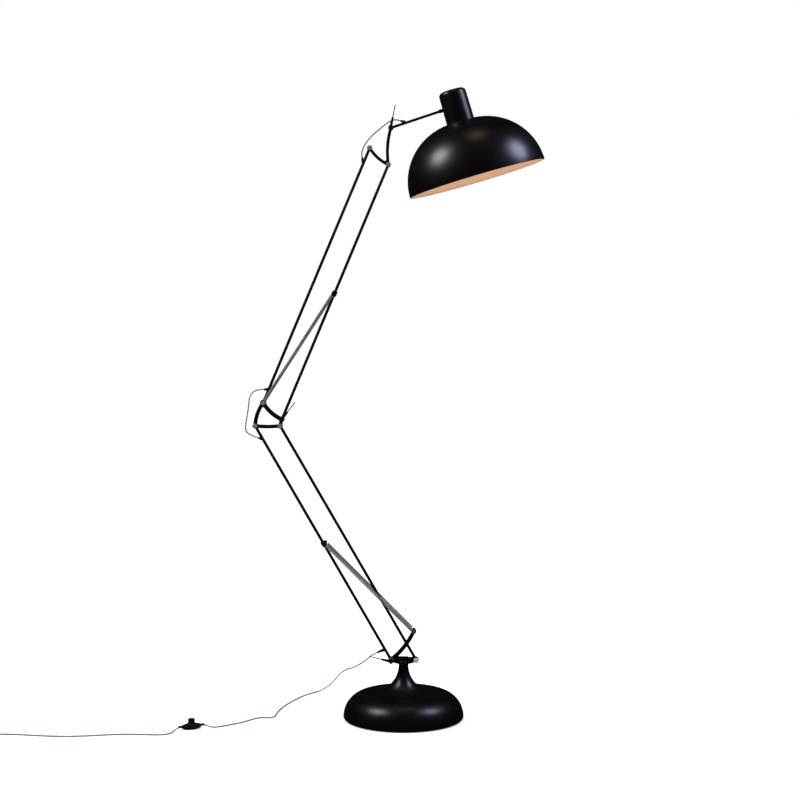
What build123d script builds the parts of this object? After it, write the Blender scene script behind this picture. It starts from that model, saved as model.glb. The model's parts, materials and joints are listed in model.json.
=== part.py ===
from build123d import *
import os
from math import copysign, cos, radians, sin, tan

os.makedirs("parts", exist_ok=True)

# A tall work lamp for the floor: two pairs of thin bars, hinged at a yoke, an elbow and a head
# bracket, carry a half-round shade.  Millimetres.  +Z is up, the head reaches towards +X, and the
# arms move in the plane y = 0.  The origin is the middle of the foot, on the floor.

# ---------------------------------------------------------------- driving dimensions
BASE_RADIUS, BASE_FOOT, BASE_RISE, BASE_TOP = 180.0, 174.0, 8.5, 78.5
FLARE_RADIUS, NECK_RADIUS, SHELL_WALL = 82.5, 14.5, 2.5
NECK_TOP = BASE_TOP + FLARE_RADIUS
FELT, COVER_SHEET = 2.5, 2.5
WEIGHT_RADIUS, WEIGHT_THICK = 150.0, 22.0
HUB_RADIUS, HUB_TOP, NUT_POCKET = 28.0, 50.0, 18.0
SPINDLE_RADIUS, COLLAR_RADIUS, COLLAR_TOP, SADDLE_TOP = 10.0, 15.5, 172.0, 184.5
RUNNING_FIT = 0.05

TUBE_RADIUS, TUBE_BORE, EYE_RADIUS, PIN_RADIUS = 4.5, 3.5, 7.0, 3.0
SHANK_END, SPIGOT_END = 16.0, 27.0
EYE_HALF, PLATE_IN, PLATE_OUT = 4.8, 5.3, 8.3
WASHER, WASHER_RADIUS, HEAD_HEIGHT, HEAD_RADIUS = 1.0, 7.2, 4.5, 6.0

LOWER_LEAN, LOWER_LENGTH = -30.15, 811.0
UPPER_LEAN, UPPER_LENGTH = 22.7, 828.0
ROD_LEAN, ROD_RADIUS, ROD_BORE, ROD_LENGTH = 71.5, 4.0, 3.1, 172.0
PIVOT_HEIGHT, PIVOT_SPREAD = 175.0, 75.0

YOKE_KEEL, YOKE_KEEL_HALF = 163.4, 36.0
SADDLE_SCREW = 2.5

# Where a cord leaves a bar: the distance along the bar, the way out in degrees, and its length.
LEAD_EXIT = (36.0, 202.1, 16.0)
ELBOW_LOW_EXIT = (LOWER_LENGTH - 46.0, 163.0, 14.0)
ELBOW_HIGH_EXIT = (43.0, 180.0, 14.0)
HEAD_LOW_EXIT = (UPPER_LENGTH - 50.0, 100.4, 18.0)
ROD_EXIT = (49.0, 161.9, 18.0)
CORD_RADIUS = 2.4
CORD_HOLE = CORD_RADIUS + RUNNING_FIT
DRILLED_HOLE, MOUTH_GAP, FLEX_BEND = 3.3, 0.3, 4.5

# The free cords meet at these places.
FLOOR_CORD = CORD_RADIUS
ELBOW_MIDDLE = (-468.0, 0.0, 914.0)
HEAD_MIDDLE = (-84.0, 0.0, 1756.0)
AIR_SPLIT = (-139.5, 113.5, 134.0)
FLOOR_SPLIT = (-279.5, 324.5, FLOOR_CORD)

LOWER_SPRING_Y, LOWER_SPRING_RADIUS = 21.0, 5.5
UPPER_SPRING_Y, UPPER_SPRING_RADIUS = 16.0, 5.0
SPRING_WIRE = 1.7
SPRING_HOOK, HOOK_WIRE, HOOK_EYE = 12.0, 1.1, 4.5
STUD_OVER, STUD_HEAD, STUD_HEAD_THICK, STUD_SHOULDER = 3.5, 5.2, 2.2, 4.6

SHADE_TILT, SHADE_RADIUS, SHADE_WALL, SHADE_CROWN, RIM_BEAD = -16.3, 210.0, 1.0, 32.0, 1.3
SHADE_HEIGHT = SHADE_RADIUS - SHADE_CROWN
CAP_RADIUS, CAP_TOP, CAP_WALL, CAP_ROUND, ROD_ENTRY = 42.5, 276.0, 2.0, 13.0, 224.5

ROD_SLEEVE_START, ROD_SLEEVE_END, ROD_SLEEVE_RADIUS = 152.0, 166.0, 5.6

BULB_MIDDLE, BULB_RADIUS, BULB_NECK, BULB_WALL = 76.0, 30.0, 13.4, 1.2
BULB_NECK_LOW, BULB_NECK_HIGH = 104.0, 122.0
HOLDER_BOTTOM, HOLDER_RADIUS, NIPPLE_RADIUS = 128.0, 20.0, 6.0

LEVER_REACH, LEVER_GRIP, LEVER_WIRE, LEVER_Y = 68.0, 30.0, 1.6, -27.0
YOKE_LEVER_TURN, ELBOW_LEVER_TURN, HEAD_LEVER_TURN = 166.5, 52.1, 78.6
CLAMP_SCREW_END = -19.0

SWITCH_PLACE, SWITCH_TURN = (-620.5, -127.0), 25.7
SWITCH_LENGTH, SWITCH_WIDTH, SWITCH_TOP = 75.0, 34.0, 18.0
BUTTON_RADIUS, BUTTON_TOP = 10.2, 30.0

COIL_PLACE, COIL_INNER, COIL_OUTER, COIL_HEIGHT = (-1216.0, -229.0), 19.0, 36.5, 9.4
PLUG_LINE, PLUG_SLEEVE, PLUG_START, PLUG_END, PLUG_TIP = -195.0, -1233.0, -1256.0, -1290.0, -1309.0
PLUG_HEIGHT, PLUG_WIDTH, PIN_SPREAD = 14.0, 26.0, 19.0

STANDING = (Align.CENTER, Align.CENTER, Align.MIN)


# ---------------------------------------------------------------- places in the plane of the arms
def along(start, lean, distance, right=0.0):
    """The (x, z) point that lies distance from start, along a line leaning from the vertical to +X."""
    s, c = sin(radians(lean)), cos(radians(lean))
    return (start[0] + distance * s + right * c, start[1] + distance * c - right * s)


def shifted(point, dx, dz):
    """A point moved by dx and dz."""
    return (point[0] + dx, point[1] + dz)


YOKE_REAR = (-PIVOT_SPREAD / 2, PIVOT_HEIGHT)
YOKE_FRONT = (PIVOT_SPREAD / 2, PIVOT_HEIGHT)
HORN = (31.0, 261.0)
ELBOW_LOW = along(YOKE_REAR, LOWER_LEAN, LOWER_LENGTH)
ELBOW_LOW_FRONT = along(YOKE_FRONT, LOWER_LEAN, LOWER_LENGTH)
ELBOW_HIGH = shifted(ELBOW_LOW, 23.9, 69.7)
ELBOW_FRONT = shifted(ELBOW_LOW, 79.9, 19.7)
HEAD_REAR = along(ELBOW_HIGH, UPPER_LEAN, UPPER_LENGTH)
HEAD_FRONT = along(ELBOW_FRONT, UPPER_LEAN, UPPER_LENGTH)
HEAD_PIVOT = shifted(HEAD_REAR, 63.5, 60.6)
LOWER_ANCHOR = along(YOKE_REAR, LOWER_LEAN, 402.0, 5.0)
UPPER_ANCHOR = along(ELBOW_FRONT, UPPER_LEAN, 409.0, -3.0)
RIM_CENTRE = (221.1, 1618.2)
SHADE_FRAME = Location((RIM_CENTRE[0], 0, RIM_CENTRE[1]), (0, SHADE_TILT, 0))


# ---------------------------------------------------------------- small builders
def save(name, *solids):
    """Write one node: a single solid, or a group of separate ones."""
    export_step(solids[0] if len(solids) == 1 else Compound(children=list(solids)), f"parts/{name}.step")


def space(point, y=0.0):
    """The 3-D place of an (x, z) point."""
    return Vector(point[0], y, point[1])


def bar(start, end, radius):
    """A round bar between two 3-D places."""
    way = Vector(*end) - Vector(*start)
    return Plane(origin=start, z_dir=way) * Cylinder(radius, way.length, align=STANDING)


def cross_pin(point, radius, y_low, y_high):
    """A round bar along Y at an (x, z) point."""
    return bar(space(point, y_low), space(point, y_high), radius)


def ring(point, outer, inner, y_low, y_high):
    """A washer or sleeve along Y."""
    return cross_pin(point, outer, y_low, y_high) - cross_pin(point, inner, y_low, y_high)


def turned(*edges):
    """A solid of revolution about Z from the edges of half its section, drawn in X and Z."""
    return revolve(Plane.XZ * make_face(list(edges)), Axis.Z)


def lathe(points):
    """A solid of revolution about Z from the corners of half its section."""
    return turned(*Polyline(*points, close=True).edges())


def disc(radius, z_low, z_high, x=0.0, y=0.0):
    """An upright cylinder."""
    return Pos(x, y, z_low) * Cylinder(radius, z_high - z_low, align=STANDING)


def arm_strip(start, end, bulge, width):
    """A flat strip in X and Z that bows to the right of the way from start to end."""
    a, b = Vector(*start), Vector(*end)
    chord = b - a
    across = Vector(chord.Y, -chord.X).normalized()
    radius = (bulge**2 + (chord.length / 2) ** 2) / (2 * abs(bulge))
    apex = (a + b) / 2 + across * bulge
    centre = apex - across * copysign(radius, bulge)

    def rail(point, offset):
        return centre + (point - centre) * ((radius + offset) / radius)

    outer = [rail(p, width / 2) for p in (a, apex, b)]
    inner = [rail(p, -width / 2) for p in (b, apex, a)]
    return make_face(
        [
            ThreePointArc(*outer),
            Line(outer[2], inner[0]),
            ThreePointArc(*inner),
            Line(inner[2], outer[0]),
        ]
    )


def boss(point, radius):
    """A round lobe of a plate."""
    return Pos(*point) * Circle(radius)


def plate_pair(outline, holes, soften=4.0):
    """Two equal plates, one each side of the bars, with softened inner corners and edges."""
    face = offset(offset(outline, soften), -soften)
    for point, radius in holes:
        face -= boss(point, radius)
    near = extrude(Plane.XZ.offset(PLATE_IN) * face, PLATE_OUT - PLATE_IN)
    near = chamfer(near.faces().sort_by(Axis.Y)[0].outer_wire().edges(), 0.6)
    return near, mirror(near, Plane.XZ)


def pivot_screw(point):
    """A cap screw through both plates, with its nut and washers, all separate solids."""
    head_start = -PLATE_OUT - WASHER
    screw = cross_pin(point, HEAD_RADIUS, head_start - HEAD_HEIGHT, head_start)
    screw = chamfer(screw.edges().sort_by(Axis.Y)[0], 0.7)
    socket = Plane(origin=space(point, head_start - HEAD_HEIGHT), z_dir=(0, 1, 0)) * RegularPolygon(2.9, 6)
    screw -= extrude(socket, 2.6)
    screw += cross_pin(point, PIN_RADIUS, head_start, -head_start + 6.5)
    nut_face = Plane(origin=space(point, -head_start), z_dir=(0, 1, 0)) * RegularPolygon(5.8, 6)
    nut = extrude(nut_face, 5.0) - cross_pin(point, PIN_RADIUS, -head_start, -head_start + 5.0)
    return [screw, nut, *washers(point, (-1, 1))]


def washers(point, sides):
    """A flat washer outside each plate named by its side, and a thin one against the eye inside both."""
    made = [
        ring(point, WASHER_RADIUS, PIN_RADIUS, *sorted((side * PLATE_OUT, side * (PLATE_OUT + WASHER))))
        for side in sides
    ]
    for side in (-1, 1):
        faces = sorted((side * (EYE_HALF + RUNNING_FIT), side * PLATE_IN))
        made.append(ring(point, EYE_RADIUS - 0.5, PIN_RADIUS, *faces))
    return made


def clamp_screw(point):
    """The screw that a locking lever draws tight: its head is at the back, its thread in the lever."""
    back = PLATE_OUT + WASHER
    screw = cross_pin(point, HEAD_RADIUS, back, back + HEAD_HEIGHT)
    screw = chamfer(screw.edges().sort_by(Axis.Y)[-1], 0.7)
    screw += cross_pin(point, PIN_RADIUS, CLAMP_SCREW_END, back)
    return [screw, *washers(point, (-1, 1))]


def lever(point, angle):
    """A locking lever: hub on the screw, tapered grip, and a thin steel handle."""
    way = Vector(cos(radians(angle)), 0, sin(radians(angle)))
    middle = space(point, LEVER_Y)
    hub = cross_pin(point, 6.8, LEVER_Y - 4.5, -PLATE_OUT - WASHER)
    hub = chamfer(hub.edges().sort_by(Axis.Y)[0], 0.8)
    hub -= cross_pin(point, PIN_RADIUS + RUNNING_FIT, CLAMP_SCREW_END - 0.5, -PLATE_OUT - WASHER)
    grip = Plane(origin=middle, z_dir=way) * Cone(4.4, 3.2, LEVER_GRIP, align=STANDING)
    handle = bar(middle + way * (LEVER_GRIP - 9.0), middle + way * LEVER_REACH, LEVER_WIRE)
    return [hub + grip - handle, handle]


def eye(pivot, lean):
    """A bar's end: an eye on its pin, a shank of the tube's own thickness, and a spigot inside it."""
    tip = space(along(pivot, lean, SHANK_END))
    solid = cross_pin(pivot, EYE_RADIUS, -EYE_HALF, EYE_HALF)
    solid += bar(space(pivot), tip, TUBE_RADIUS)
    solid += bar(tip, space(along(pivot, lean, SPIGOT_END)), TUBE_BORE)
    return solid - cross_pin(pivot, PIN_RADIUS + RUNNING_FIT, -EYE_HALF, EYE_HALF)


def tube(start, lean, length):
    """The drawn tube between two eyes."""
    ends = space(along(start, lean, SHANK_END)), space(along(start, lean, length - SHANK_END))
    return bar(*ends, TUBE_RADIUS) - bar(*ends, TUBE_BORE)


def exit_line(knee, angle, reach):
    """The straight way out of a tube for a cord: from its bend on the axis to the grommet's mouth."""
    way = Vector(cos(radians(angle)), 0, sin(radians(angle)))
    return space(knee), space(knee) + way * reach


def grommet(start, mouth, tube_line, radius):
    """A tapered rubber sleeve round the cord where it leaves a tube of a radius."""
    way = mouth - start
    cone = Cone(radius + 0.6, CORD_RADIUS + 0.7, way.length, align=STANDING)
    return Plane(origin=start, z_dir=way) * cone - bar(*tube_line, radius) - bar(start, mouth, CORD_HOLE)


def swept(path, radius):
    """A round cord along a path."""
    return sweep(Plane(origin=path @ 0, z_dir=path % 0) * Circle(radius), path)


def cord(name, route):
    """A cord's solid: straight runs joined by arcs as large as the runs allow."""
    points = [Vector(*p) for p in route]
    runs = [b - a for a, b in zip(points, points[1:])]
    radii = []
    for before, after in zip(runs, runs[1:]):
        turn = radians(before.get_angle(after))
        radii.append(0.45 * min(before.length, after.length) / tan(turn / 2))
    path = FilletPolyline(*points, radius=radii)
    print(f"{name}: {path.length:.0f} mm")
    save(name, swept(path, CORD_RADIUS))


def inner_flex(first, second):
    """The flex inside a tube, from one grommet's mouth to the other's."""
    ends = [tip + (knee - tip).normalized() * MOUTH_GAP for knee, tip in (first, second)]
    return swept(FilletPolyline(ends[0], first[0], second[0], ends[1], radius=FLEX_BEND), CORD_RADIUS)


# ---------------------------------------------------------------- foot
def foot():
    """Spun cover, iron weight, cover sheet, felt, screws and the bush in the neck."""
    dome = BASE_RADIUS - (BASE_TOP - BASE_RISE)
    flare = NECK_RADIUS + FLARE_RADIUS
    lip = BASE_FOOT - 3.0

    def shell_side(wall):
        inner = BASE_TOP - BASE_RISE - wall
        outer = FLARE_RADIUS + wall
        low = (dome + inner, BASE_RISE)
        half = sin(radians(45))
        return [
            ThreePointArc(low, (dome + inner * half, BASE_RISE + inner * half), (dome, BASE_TOP - wall)),
            Line((dome, BASE_TOP - wall), (flare, BASE_TOP - wall)),
            ThreePointArc(
                (flare, BASE_TOP - wall),
                (flare - outer * half, NECK_TOP - outer * half),
                (flare - outer, NECK_TOP),
            ),
        ], low

    outside, low_out = shell_side(0)
    inside, low_in = shell_side(SHELL_WALL)
    foot_edge = (BASE_FOOT, 1.0)
    shell = turned(
        *outside,
        *inside,
        Line((NECK_RADIUS, NECK_TOP), (NECK_RADIUS - SHELL_WALL, NECK_TOP)),
        ThreePointArc(foot_edge, (BASE_FOOT + 4.3, 3.9), low_out),
        Line(foot_edge, (lip, 1.0)),
        Line((lip, 1.0), (lip, 1.0 + SHELL_WALL)),
        Line((lip, 1.0 + SHELL_WALL), low_in),
    )
    save("base_shell", shell)

    sheet_top = FELT + COVER_SHEET
    weight = lathe(
        [
            (SPINDLE_RADIUS + RUNNING_FIT, HUB_TOP),
            (SPINDLE_RADIUS + RUNNING_FIT, 20.0),
            (NUT_POCKET, 20.0),
            (NUT_POCKET, sheet_top),
            (WEIGHT_RADIUS, sheet_top),
            (WEIGHT_RADIUS, sheet_top + WEIGHT_THICK),
            (HUB_RADIUS, sheet_top + WEIGHT_THICK),
            (HUB_RADIUS, HUB_TOP),
        ]
    )
    sheet = disc(lip - 0.1, FELT, sheet_top)
    felt = disc(lip - 3.0, 0.0, FELT)
    screws = []
    for turn in (90, 210, 330):
        x, y = 100.0 * cos(radians(turn)), 100.0 * sin(radians(turn))
        shaft = disc(3.0, FELT, 20.0, x, y)
        weight -= shaft
        sheet -= shaft
        felt -= disc(6.0, 0.0, FELT, x, y)
        screws.append(shaft + disc(5.2, 0.6, FELT, x, y))
    save("base_weight", weight)
    save("base_cover_sheet", sheet)
    save("base_felt_pad", felt)
    save("base_screws", *screws)

    bore = SPINDLE_RADIUS + RUNNING_FIT
    bush_radius = NECK_RADIUS - SHELL_WALL
    save(
        "neck_bush",
        lathe(
            [
                (bore, NECK_TOP - 34.0),
                (bush_radius, NECK_TOP - 34.0),
                (bush_radius, NECK_TOP),
                (NECK_RADIUS, NECK_TOP),
                (NECK_RADIUS, NECK_TOP + 1.5),
                (bore, NECK_TOP + 1.5),
            ]
        ),
    )


# ---------------------------------------------------------------- yoke
def yoke():
    """Spindle with its saddle, the two horned plates, their screws, studs and the retaining nut."""
    low = NECK_TOP + 1.6
    spindle = disc(SPINDLE_RADIUS, 9.0, low) + disc(COLLAR_RADIUS, low, COLLAR_TOP)
    spindle = chamfer(spindle.edges().filter_by_position(Axis.Z, COLLAR_TOP, COLLAR_TOP), 2.0)
    slab = Box(2 * COLLAR_RADIUS - 1, 2 * PLATE_IN, SADDLE_TOP - COLLAR_TOP, align=STANDING)
    spindle += Pos(0, 0, COLLAR_TOP) * slab
    slot = Box(60, PLATE_OUT - PLATE_IN, 60, align=(Align.CENTER, Align.MIN, Align.MIN))
    for y in (PLATE_IN, -PLATE_OUT):
        spindle -= Pos(0, y, YOKE_KEEL) * slot
    screw_places = [(-8.5, 177.5), (8.5, 177.5)]
    for place in screw_places:
        spindle -= cross_pin(place, SADDLE_SCREW, -PLATE_IN, PLATE_IN)
    save("yoke_spindle", spindle)

    nut = extrude(Pos(0, 0, 9.5) * RegularPolygon(15.5, 6), 7.5) - disc(SPINDLE_RADIUS, 9.0, 17.0)
    washer = disc(16.5, 17.0, 19.9) - disc(SPINDLE_RADIUS, 17.0, 19.9)
    save("spindle_nut", nut, washer)

    outline = Sketch() + boss(YOKE_REAR, 8.5) + boss(YOKE_FRONT, 8.5) + boss(HORN, 7.5)
    outline += Pos(0, PIVOT_HEIGHT) * Rectangle(PIVOT_SPREAD, 14.0)
    keel = [
        (-YOKE_KEEL_HALF, PIVOT_HEIGHT - 6.0),
        (-COLLAR_RADIUS, YOKE_KEEL),
        (COLLAR_RADIUS, YOKE_KEEL),
        (YOKE_KEEL_HALF, PIVOT_HEIGHT - 6.0),
    ]
    outline += make_face(Polyline(*keel, close=True))
    outline += arm_strip(YOKE_REAR, HORN, 6.5, 11.0)
    holes = [(YOKE_REAR, PIN_RADIUS), (YOKE_FRONT, PIN_RADIUS), (HORN, PIN_RADIUS)]
    holes += [(place, SADDLE_SCREW) for place in screw_places]
    save("yoke_plates", *plate_pair(outline, holes))

    fasteners = []
    for place in screw_places:
        screw = cross_pin(place, SADDLE_SCREW, -PLATE_OUT, PLATE_OUT + 4.0)
        screw += cross_pin(place, 4.2, -PLATE_OUT - 3.0, -PLATE_OUT)
        fasteners += [screw, ring(place, 4.4, SADDLE_SCREW, PLATE_OUT, PLATE_OUT + 3.5)]
    save("yoke_saddle_screws", *fasteners)
    save("yoke_pivot_screws", *clamp_screw(YOKE_REAR), *pivot_screw(YOKE_FRONT))
    save("lower_spring_studs", *stud_pair(HORN, PLATE_IN, LOWER_SPRING_Y))
    save("yoke_lever", *lever(YOKE_REAR, YOKE_LEVER_TURN))


# ---------------------------------------------------------------- springs
def stud_pair(point, inner, spring_y):
    """Two studs, one each side, that reach past the springs' hooks and end in a round head."""
    end = spring_y + STUD_OVER
    made = []
    for side in (-1, 1):
        spans = [
            (PIN_RADIUS, inner, end),
            (STUD_HEAD, end, end + STUD_HEAD_THICK),
            (STUD_SHOULDER, PLATE_OUT, spring_y - STUD_OVER),
        ]
        stud = Part()
        for radius, a, b in spans:
            stud += cross_pin(point, radius, *sorted((side * a, side * b)))
        made.append(stud)
    return made


def spring_pair(name, foot_point, top_point, y, radius):
    """Two tension springs side by side: coils with their lower hooks, then the upper hooks."""
    way = (space(top_point) - space(foot_point)).normalized()
    coils, hooks = [], []
    for side in (-1, 1):
        start, end = space(foot_point, side * y), space(top_point, side * y)
        low, high = start + way * SPRING_HOOK, end - way * SPRING_HOOK
        coil = bar(low, high, radius) - bar(low + way, high - way, radius - SPRING_WIRE)
        coils.append(coil + hook(start, low))
        hooks.append(hook(end, high + way * 0.3))
    save(f"{name}_springs", *coils)
    save(f"{name}_spring_hooks", *hooks)


def hook(pin, coil_end):
    """A wire loop round a stud and its shank to the coil's end."""
    way = (coil_end - pin).normalized()
    loop = Plane(origin=pin, z_dir=(0, 1, 0)) * Torus(HOOK_EYE, HOOK_WIRE)
    return loop + bar(pin + way * HOOK_EYE, coil_end, HOOK_WIRE)


def anchor(tube_point, lean, spring_point, spring_y):
    """A collar clamped round a bar, with a stud each side for the springs' upper hooks."""
    half = 8.0
    line = space(along(tube_point, lean, -half)), space(along(tube_point, lean, half))
    collar = bar(*line, 7.6)
    collar = collar + cross_pin(spring_point, 6.2, -7.0, 7.0) - bar(*line, TUBE_RADIUS)
    for stud in stud_pair(spring_point, 6.8, spring_y):
        collar += stud
    return collar


# ---------------------------------------------------------------- arms
def arm(name, start, lean, length, exits):
    """One thin bar, a tube with an eye brazed in each end; one with exits holds a flex and grommets."""
    body = tube(start, lean, length)
    line = space(along(start, lean, SHANK_END)), space(along(start, lean, length - SHANK_END))
    body += eye(start, lean) + eye(along(start, lean, length), lean + 180)
    if exits:
        ways = [exit_line(along(start, lean, place), angle, reach) for place, angle, reach in exits]
        for a, b in ways:
            body -= bar(a, b, DRILLED_HOLE)
        save(f"{name}_grommets", *[grommet(*way, line, TUBE_RADIUS) for way in ways])
        save(f"{name}_flex", inner_flex(*ways))
    save(f"{name}_bar", body)


def arms():
    """The four bars and the collars that the springs pull on."""
    arm("lower_rear", YOKE_REAR, LOWER_LEAN, LOWER_LENGTH, [LEAD_EXIT, ELBOW_LOW_EXIT])
    arm("lower_front", YOKE_FRONT, LOWER_LEAN, LOWER_LENGTH, [])
    arm("upper_rear", ELBOW_HIGH, UPPER_LEAN, UPPER_LENGTH, [ELBOW_HIGH_EXIT, HEAD_LOW_EXIT])
    arm("upper_front", ELBOW_FRONT, UPPER_LEAN, UPPER_LENGTH, [])
    lower_place = along(YOKE_REAR, LOWER_LEAN, 402.0)
    upper_place = along(ELBOW_FRONT, UPPER_LEAN, 409.0)
    save("lower_spring_anchor", anchor(lower_place, LOWER_LEAN, LOWER_ANCHOR, LOWER_SPRING_Y))
    save("upper_spring_anchor", anchor(upper_place, UPPER_LEAN, UPPER_ANCHOR, UPPER_SPRING_Y))
    spring_pair("lower", HORN, LOWER_ANCHOR, LOWER_SPRING_Y, LOWER_SPRING_RADIUS)
    spring_pair("upper", ELBOW_HIGH, UPPER_ANCHOR, UPPER_SPRING_Y, UPPER_SPRING_RADIUS)


# ---------------------------------------------------------------- elbow and head brackets
def long_pin(point, spring_y):
    """A pin through both plates and the eye, long enough to carry a spring's hook at each end."""
    end = spring_y + STUD_OVER
    pin = cross_pin(point, PIN_RADIUS, -end, end)
    for side in (-1, 1):
        pin += cross_pin(point, STUD_HEAD, *sorted((side * end, side * (end + STUD_HEAD_THICK))))
        shoulder = sorted((side * (PLATE_OUT + WASHER), side * (spring_y - STUD_OVER)))
        pin += cross_pin(point, STUD_SHOULDER, *shoulder)
    return [pin, *washers(point, (-1, 1))]


def elbow():
    """The open frame of curved arms between the lower and the upper bars."""
    outline = Sketch() + arm_strip(ELBOW_LOW, ELBOW_HIGH, -5.5, 11.0)
    outline += arm_strip(ELBOW_HIGH, ELBOW_FRONT, 6.0, 11.5)
    outline += arm_strip(ELBOW_LOW, ELBOW_LOW_FRONT, 2.0, 10.0)
    outline += arm_strip(ELBOW_FRONT, ELBOW_LOW_FRONT, 0.5, 11.0)
    corners = [(ELBOW_LOW, 8.0), (ELBOW_LOW_FRONT, 8.0), (ELBOW_FRONT, 8.2), (ELBOW_HIGH, 9.5)]
    for point, radius in corners:
        outline += boss(point, radius)
    save("elbow_plates", *plate_pair(outline, [(point, PIN_RADIUS) for point, _ in corners]))
    screws = [*pivot_screw(ELBOW_LOW), *pivot_screw(ELBOW_LOW_FRONT), *clamp_screw(ELBOW_FRONT)]
    save("elbow_pivot_screws", *screws, *long_pin(ELBOW_HIGH, UPPER_SPRING_Y))
    save("elbow_lever", *lever(ELBOW_FRONT, ELBOW_LEVER_TURN))


def head_bracket():
    """The V of two curved arms that keeps the head level."""
    outline = Sketch() + arm_strip(HEAD_REAR, HEAD_FRONT, 5.5, 8.6)
    outline += arm_strip(HEAD_FRONT, HEAD_PIVOT, -6.0, 9.2)
    corners = [(HEAD_REAR, 8.0), (HEAD_FRONT, 7.6), (HEAD_PIVOT, 8.0)]
    for point, radius in corners:
        outline += boss(point, radius)
    save("head_plates", *plate_pair(outline, [(point, PIN_RADIUS) for point, _ in corners]))
    screws = [*pivot_screw(HEAD_REAR), *pivot_screw(HEAD_FRONT), *clamp_screw(HEAD_PIVOT)]
    save("head_pivot_screws", *screws)
    save("head_lever", *lever(HEAD_PIVOT, HEAD_LEVER_TURN))


# ---------------------------------------------------------------- head
def head():
    """Rod, cap, bridge, lampholder, bulb and shade."""
    end = space(along(HEAD_PIVOT, ROD_LEAN, ROD_LENGTH))
    bore_start = space(along(HEAD_PIVOT, ROD_LEAN, SPIGOT_END))
    whole_rod = bar(space(HEAD_PIVOT), end, ROD_RADIUS)
    rod = cross_pin(HEAD_PIVOT, EYE_RADIUS + 0.5, -EYE_HALF, EYE_HALF) + whole_rod
    rod -= bar(bore_start, end, ROD_BORE)
    rod -= cross_pin(HEAD_PIVOT, PIN_RADIUS + RUNNING_FIT, -EYE_HALF, EYE_HALF)
    place, angle, reach = ROD_EXIT
    knee = along(HEAD_PIVOT, ROD_LEAN, place)
    way = exit_line(knee, angle, reach)
    rod -= bar(*way, DRILLED_HOLE)
    save("head_rod", rod)
    save("rod_grommet", grommet(*way, (space(HEAD_PIVOT), end), ROD_RADIUS))
    start = way[1] + (way[0] - way[1]).normalized() * MOUTH_GAP
    save("head_flex", swept(FilletPolyline(start, way[0], end, radius=FLEX_BEND), CORD_RADIUS))

    shoulder = CAP_RADIUS - 1.0
    curve = cos(radians(45)) * CAP_ROUND
    corner = (shoulder - CAP_ROUND, CAP_TOP - CAP_ROUND)

    def cap_side(wall):
        size = CAP_ROUND - wall
        return [
            Line((CAP_RADIUS - wall, SHADE_HEIGHT), (shoulder - wall, corner[1])),
            ThreePointArc(
                (shoulder - wall, corner[1]),
                (corner[0] + curve * size / CAP_ROUND, corner[1] + curve * size / CAP_ROUND),
                (corner[0], CAP_TOP - wall),
            ),
            Line((corner[0], CAP_TOP - wall), (0, CAP_TOP - wall)),
        ]

    cap = turned(
        *cap_side(0),
        *cap_side(CAP_WALL),
        Line((0, CAP_TOP - CAP_WALL), (0, CAP_TOP)),
        Line((CAP_RADIUS - CAP_WALL, SHADE_HEIGHT), (CAP_RADIUS, SHADE_HEIGHT)),
    )
    save("head_cap", SHADE_FRAME * cap - whole_rod)
    sleeve_ends = [space(along(HEAD_PIVOT, ROD_LEAN, far)) for far in (ROD_SLEEVE_START, ROD_SLEEVE_END)]
    sleeve = bar(*sleeve_ends, ROD_SLEEVE_RADIUS) - whole_rod
    save("rod_collar", sleeve - SHADE_FRAME * disc(CAP_RADIUS, SHADE_HEIGHT, CAP_TOP))

    block = Pos(-29, 0, ROD_ENTRY) * Box(16, 20, 20) + Pos(-18.5, 0, 208.5) * Box(5, 20, 52)
    block += Pos(-8.5, 0, 182.0) * Box(25, 20, 4) - disc(NIPPLE_RADIUS, 170.0, 190.0)
    save("head_bridge", SHADE_FRAME * block - whole_rod)

    nut = extrude(Pos(0, 0, 184.2) * RegularPolygon(9.5, 6), 5.0) - disc(NIPPLE_RADIUS, 180.0, 192.0)
    save("holder_nut", SHADE_FRAME * nut)
    crown = SHADE_HEIGHT - SHADE_WALL
    holder = disc(HOLDER_RADIUS, HOLDER_BOTTOM, crown - 2.0) + disc(14.0, crown - 2.0, crown)
    holder += disc(NIPPLE_RADIUS, crown, 194.0)
    holder -= disc(14.3, HOLDER_BOTTOM, 158.0)
    holder -= disc(3.0, 158.0, 194.0)
    save("lampholder", SHADE_FRAME * holder)

    def glass_side(wall):
        size = BULB_RADIUS - wall
        belly = (size * cos(radians(20)), BULB_MIDDLE - size * sin(radians(20)))
        side = (size * cos(radians(40)), BULB_MIDDLE + size * sin(radians(40)))
        return [
            ThreePointArc((0, BULB_MIDDLE - size), belly, side),
            ThreePointArc(side, (17.6 - wall, BULB_NECK_LOW), (BULB_NECK - wall, BULB_NECK_HIGH)),
        ]

    glass = turned(
        *glass_side(0),
        *glass_side(BULB_WALL),
        Line((0, BULB_MIDDLE - BULB_RADIUS), (0, BULB_MIDDLE - BULB_RADIUS + BULB_WALL)),
        Line((BULB_NECK - BULB_WALL, BULB_NECK_HIGH), (BULB_NECK, BULB_NECK_HIGH)),
    )
    save("bulb_glass", SHADE_FRAME * glass)
    save("bulb_cap", SHADE_FRAME * (disc(13.6, BULB_NECK_HIGH, 148.0) + disc(5.0, 148.0, 156.0)))

    def shade_side(wall):
        size = SHADE_HEIGHT - wall
        half = sin(radians(45)) * size
        return [
            ThreePointArc((SHADE_CROWN + size, 0), (SHADE_CROWN + half, half), (SHADE_CROWN, size)),
            Line((SHADE_CROWN, size), (NIPPLE_RADIUS, size)),
        ]

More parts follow.
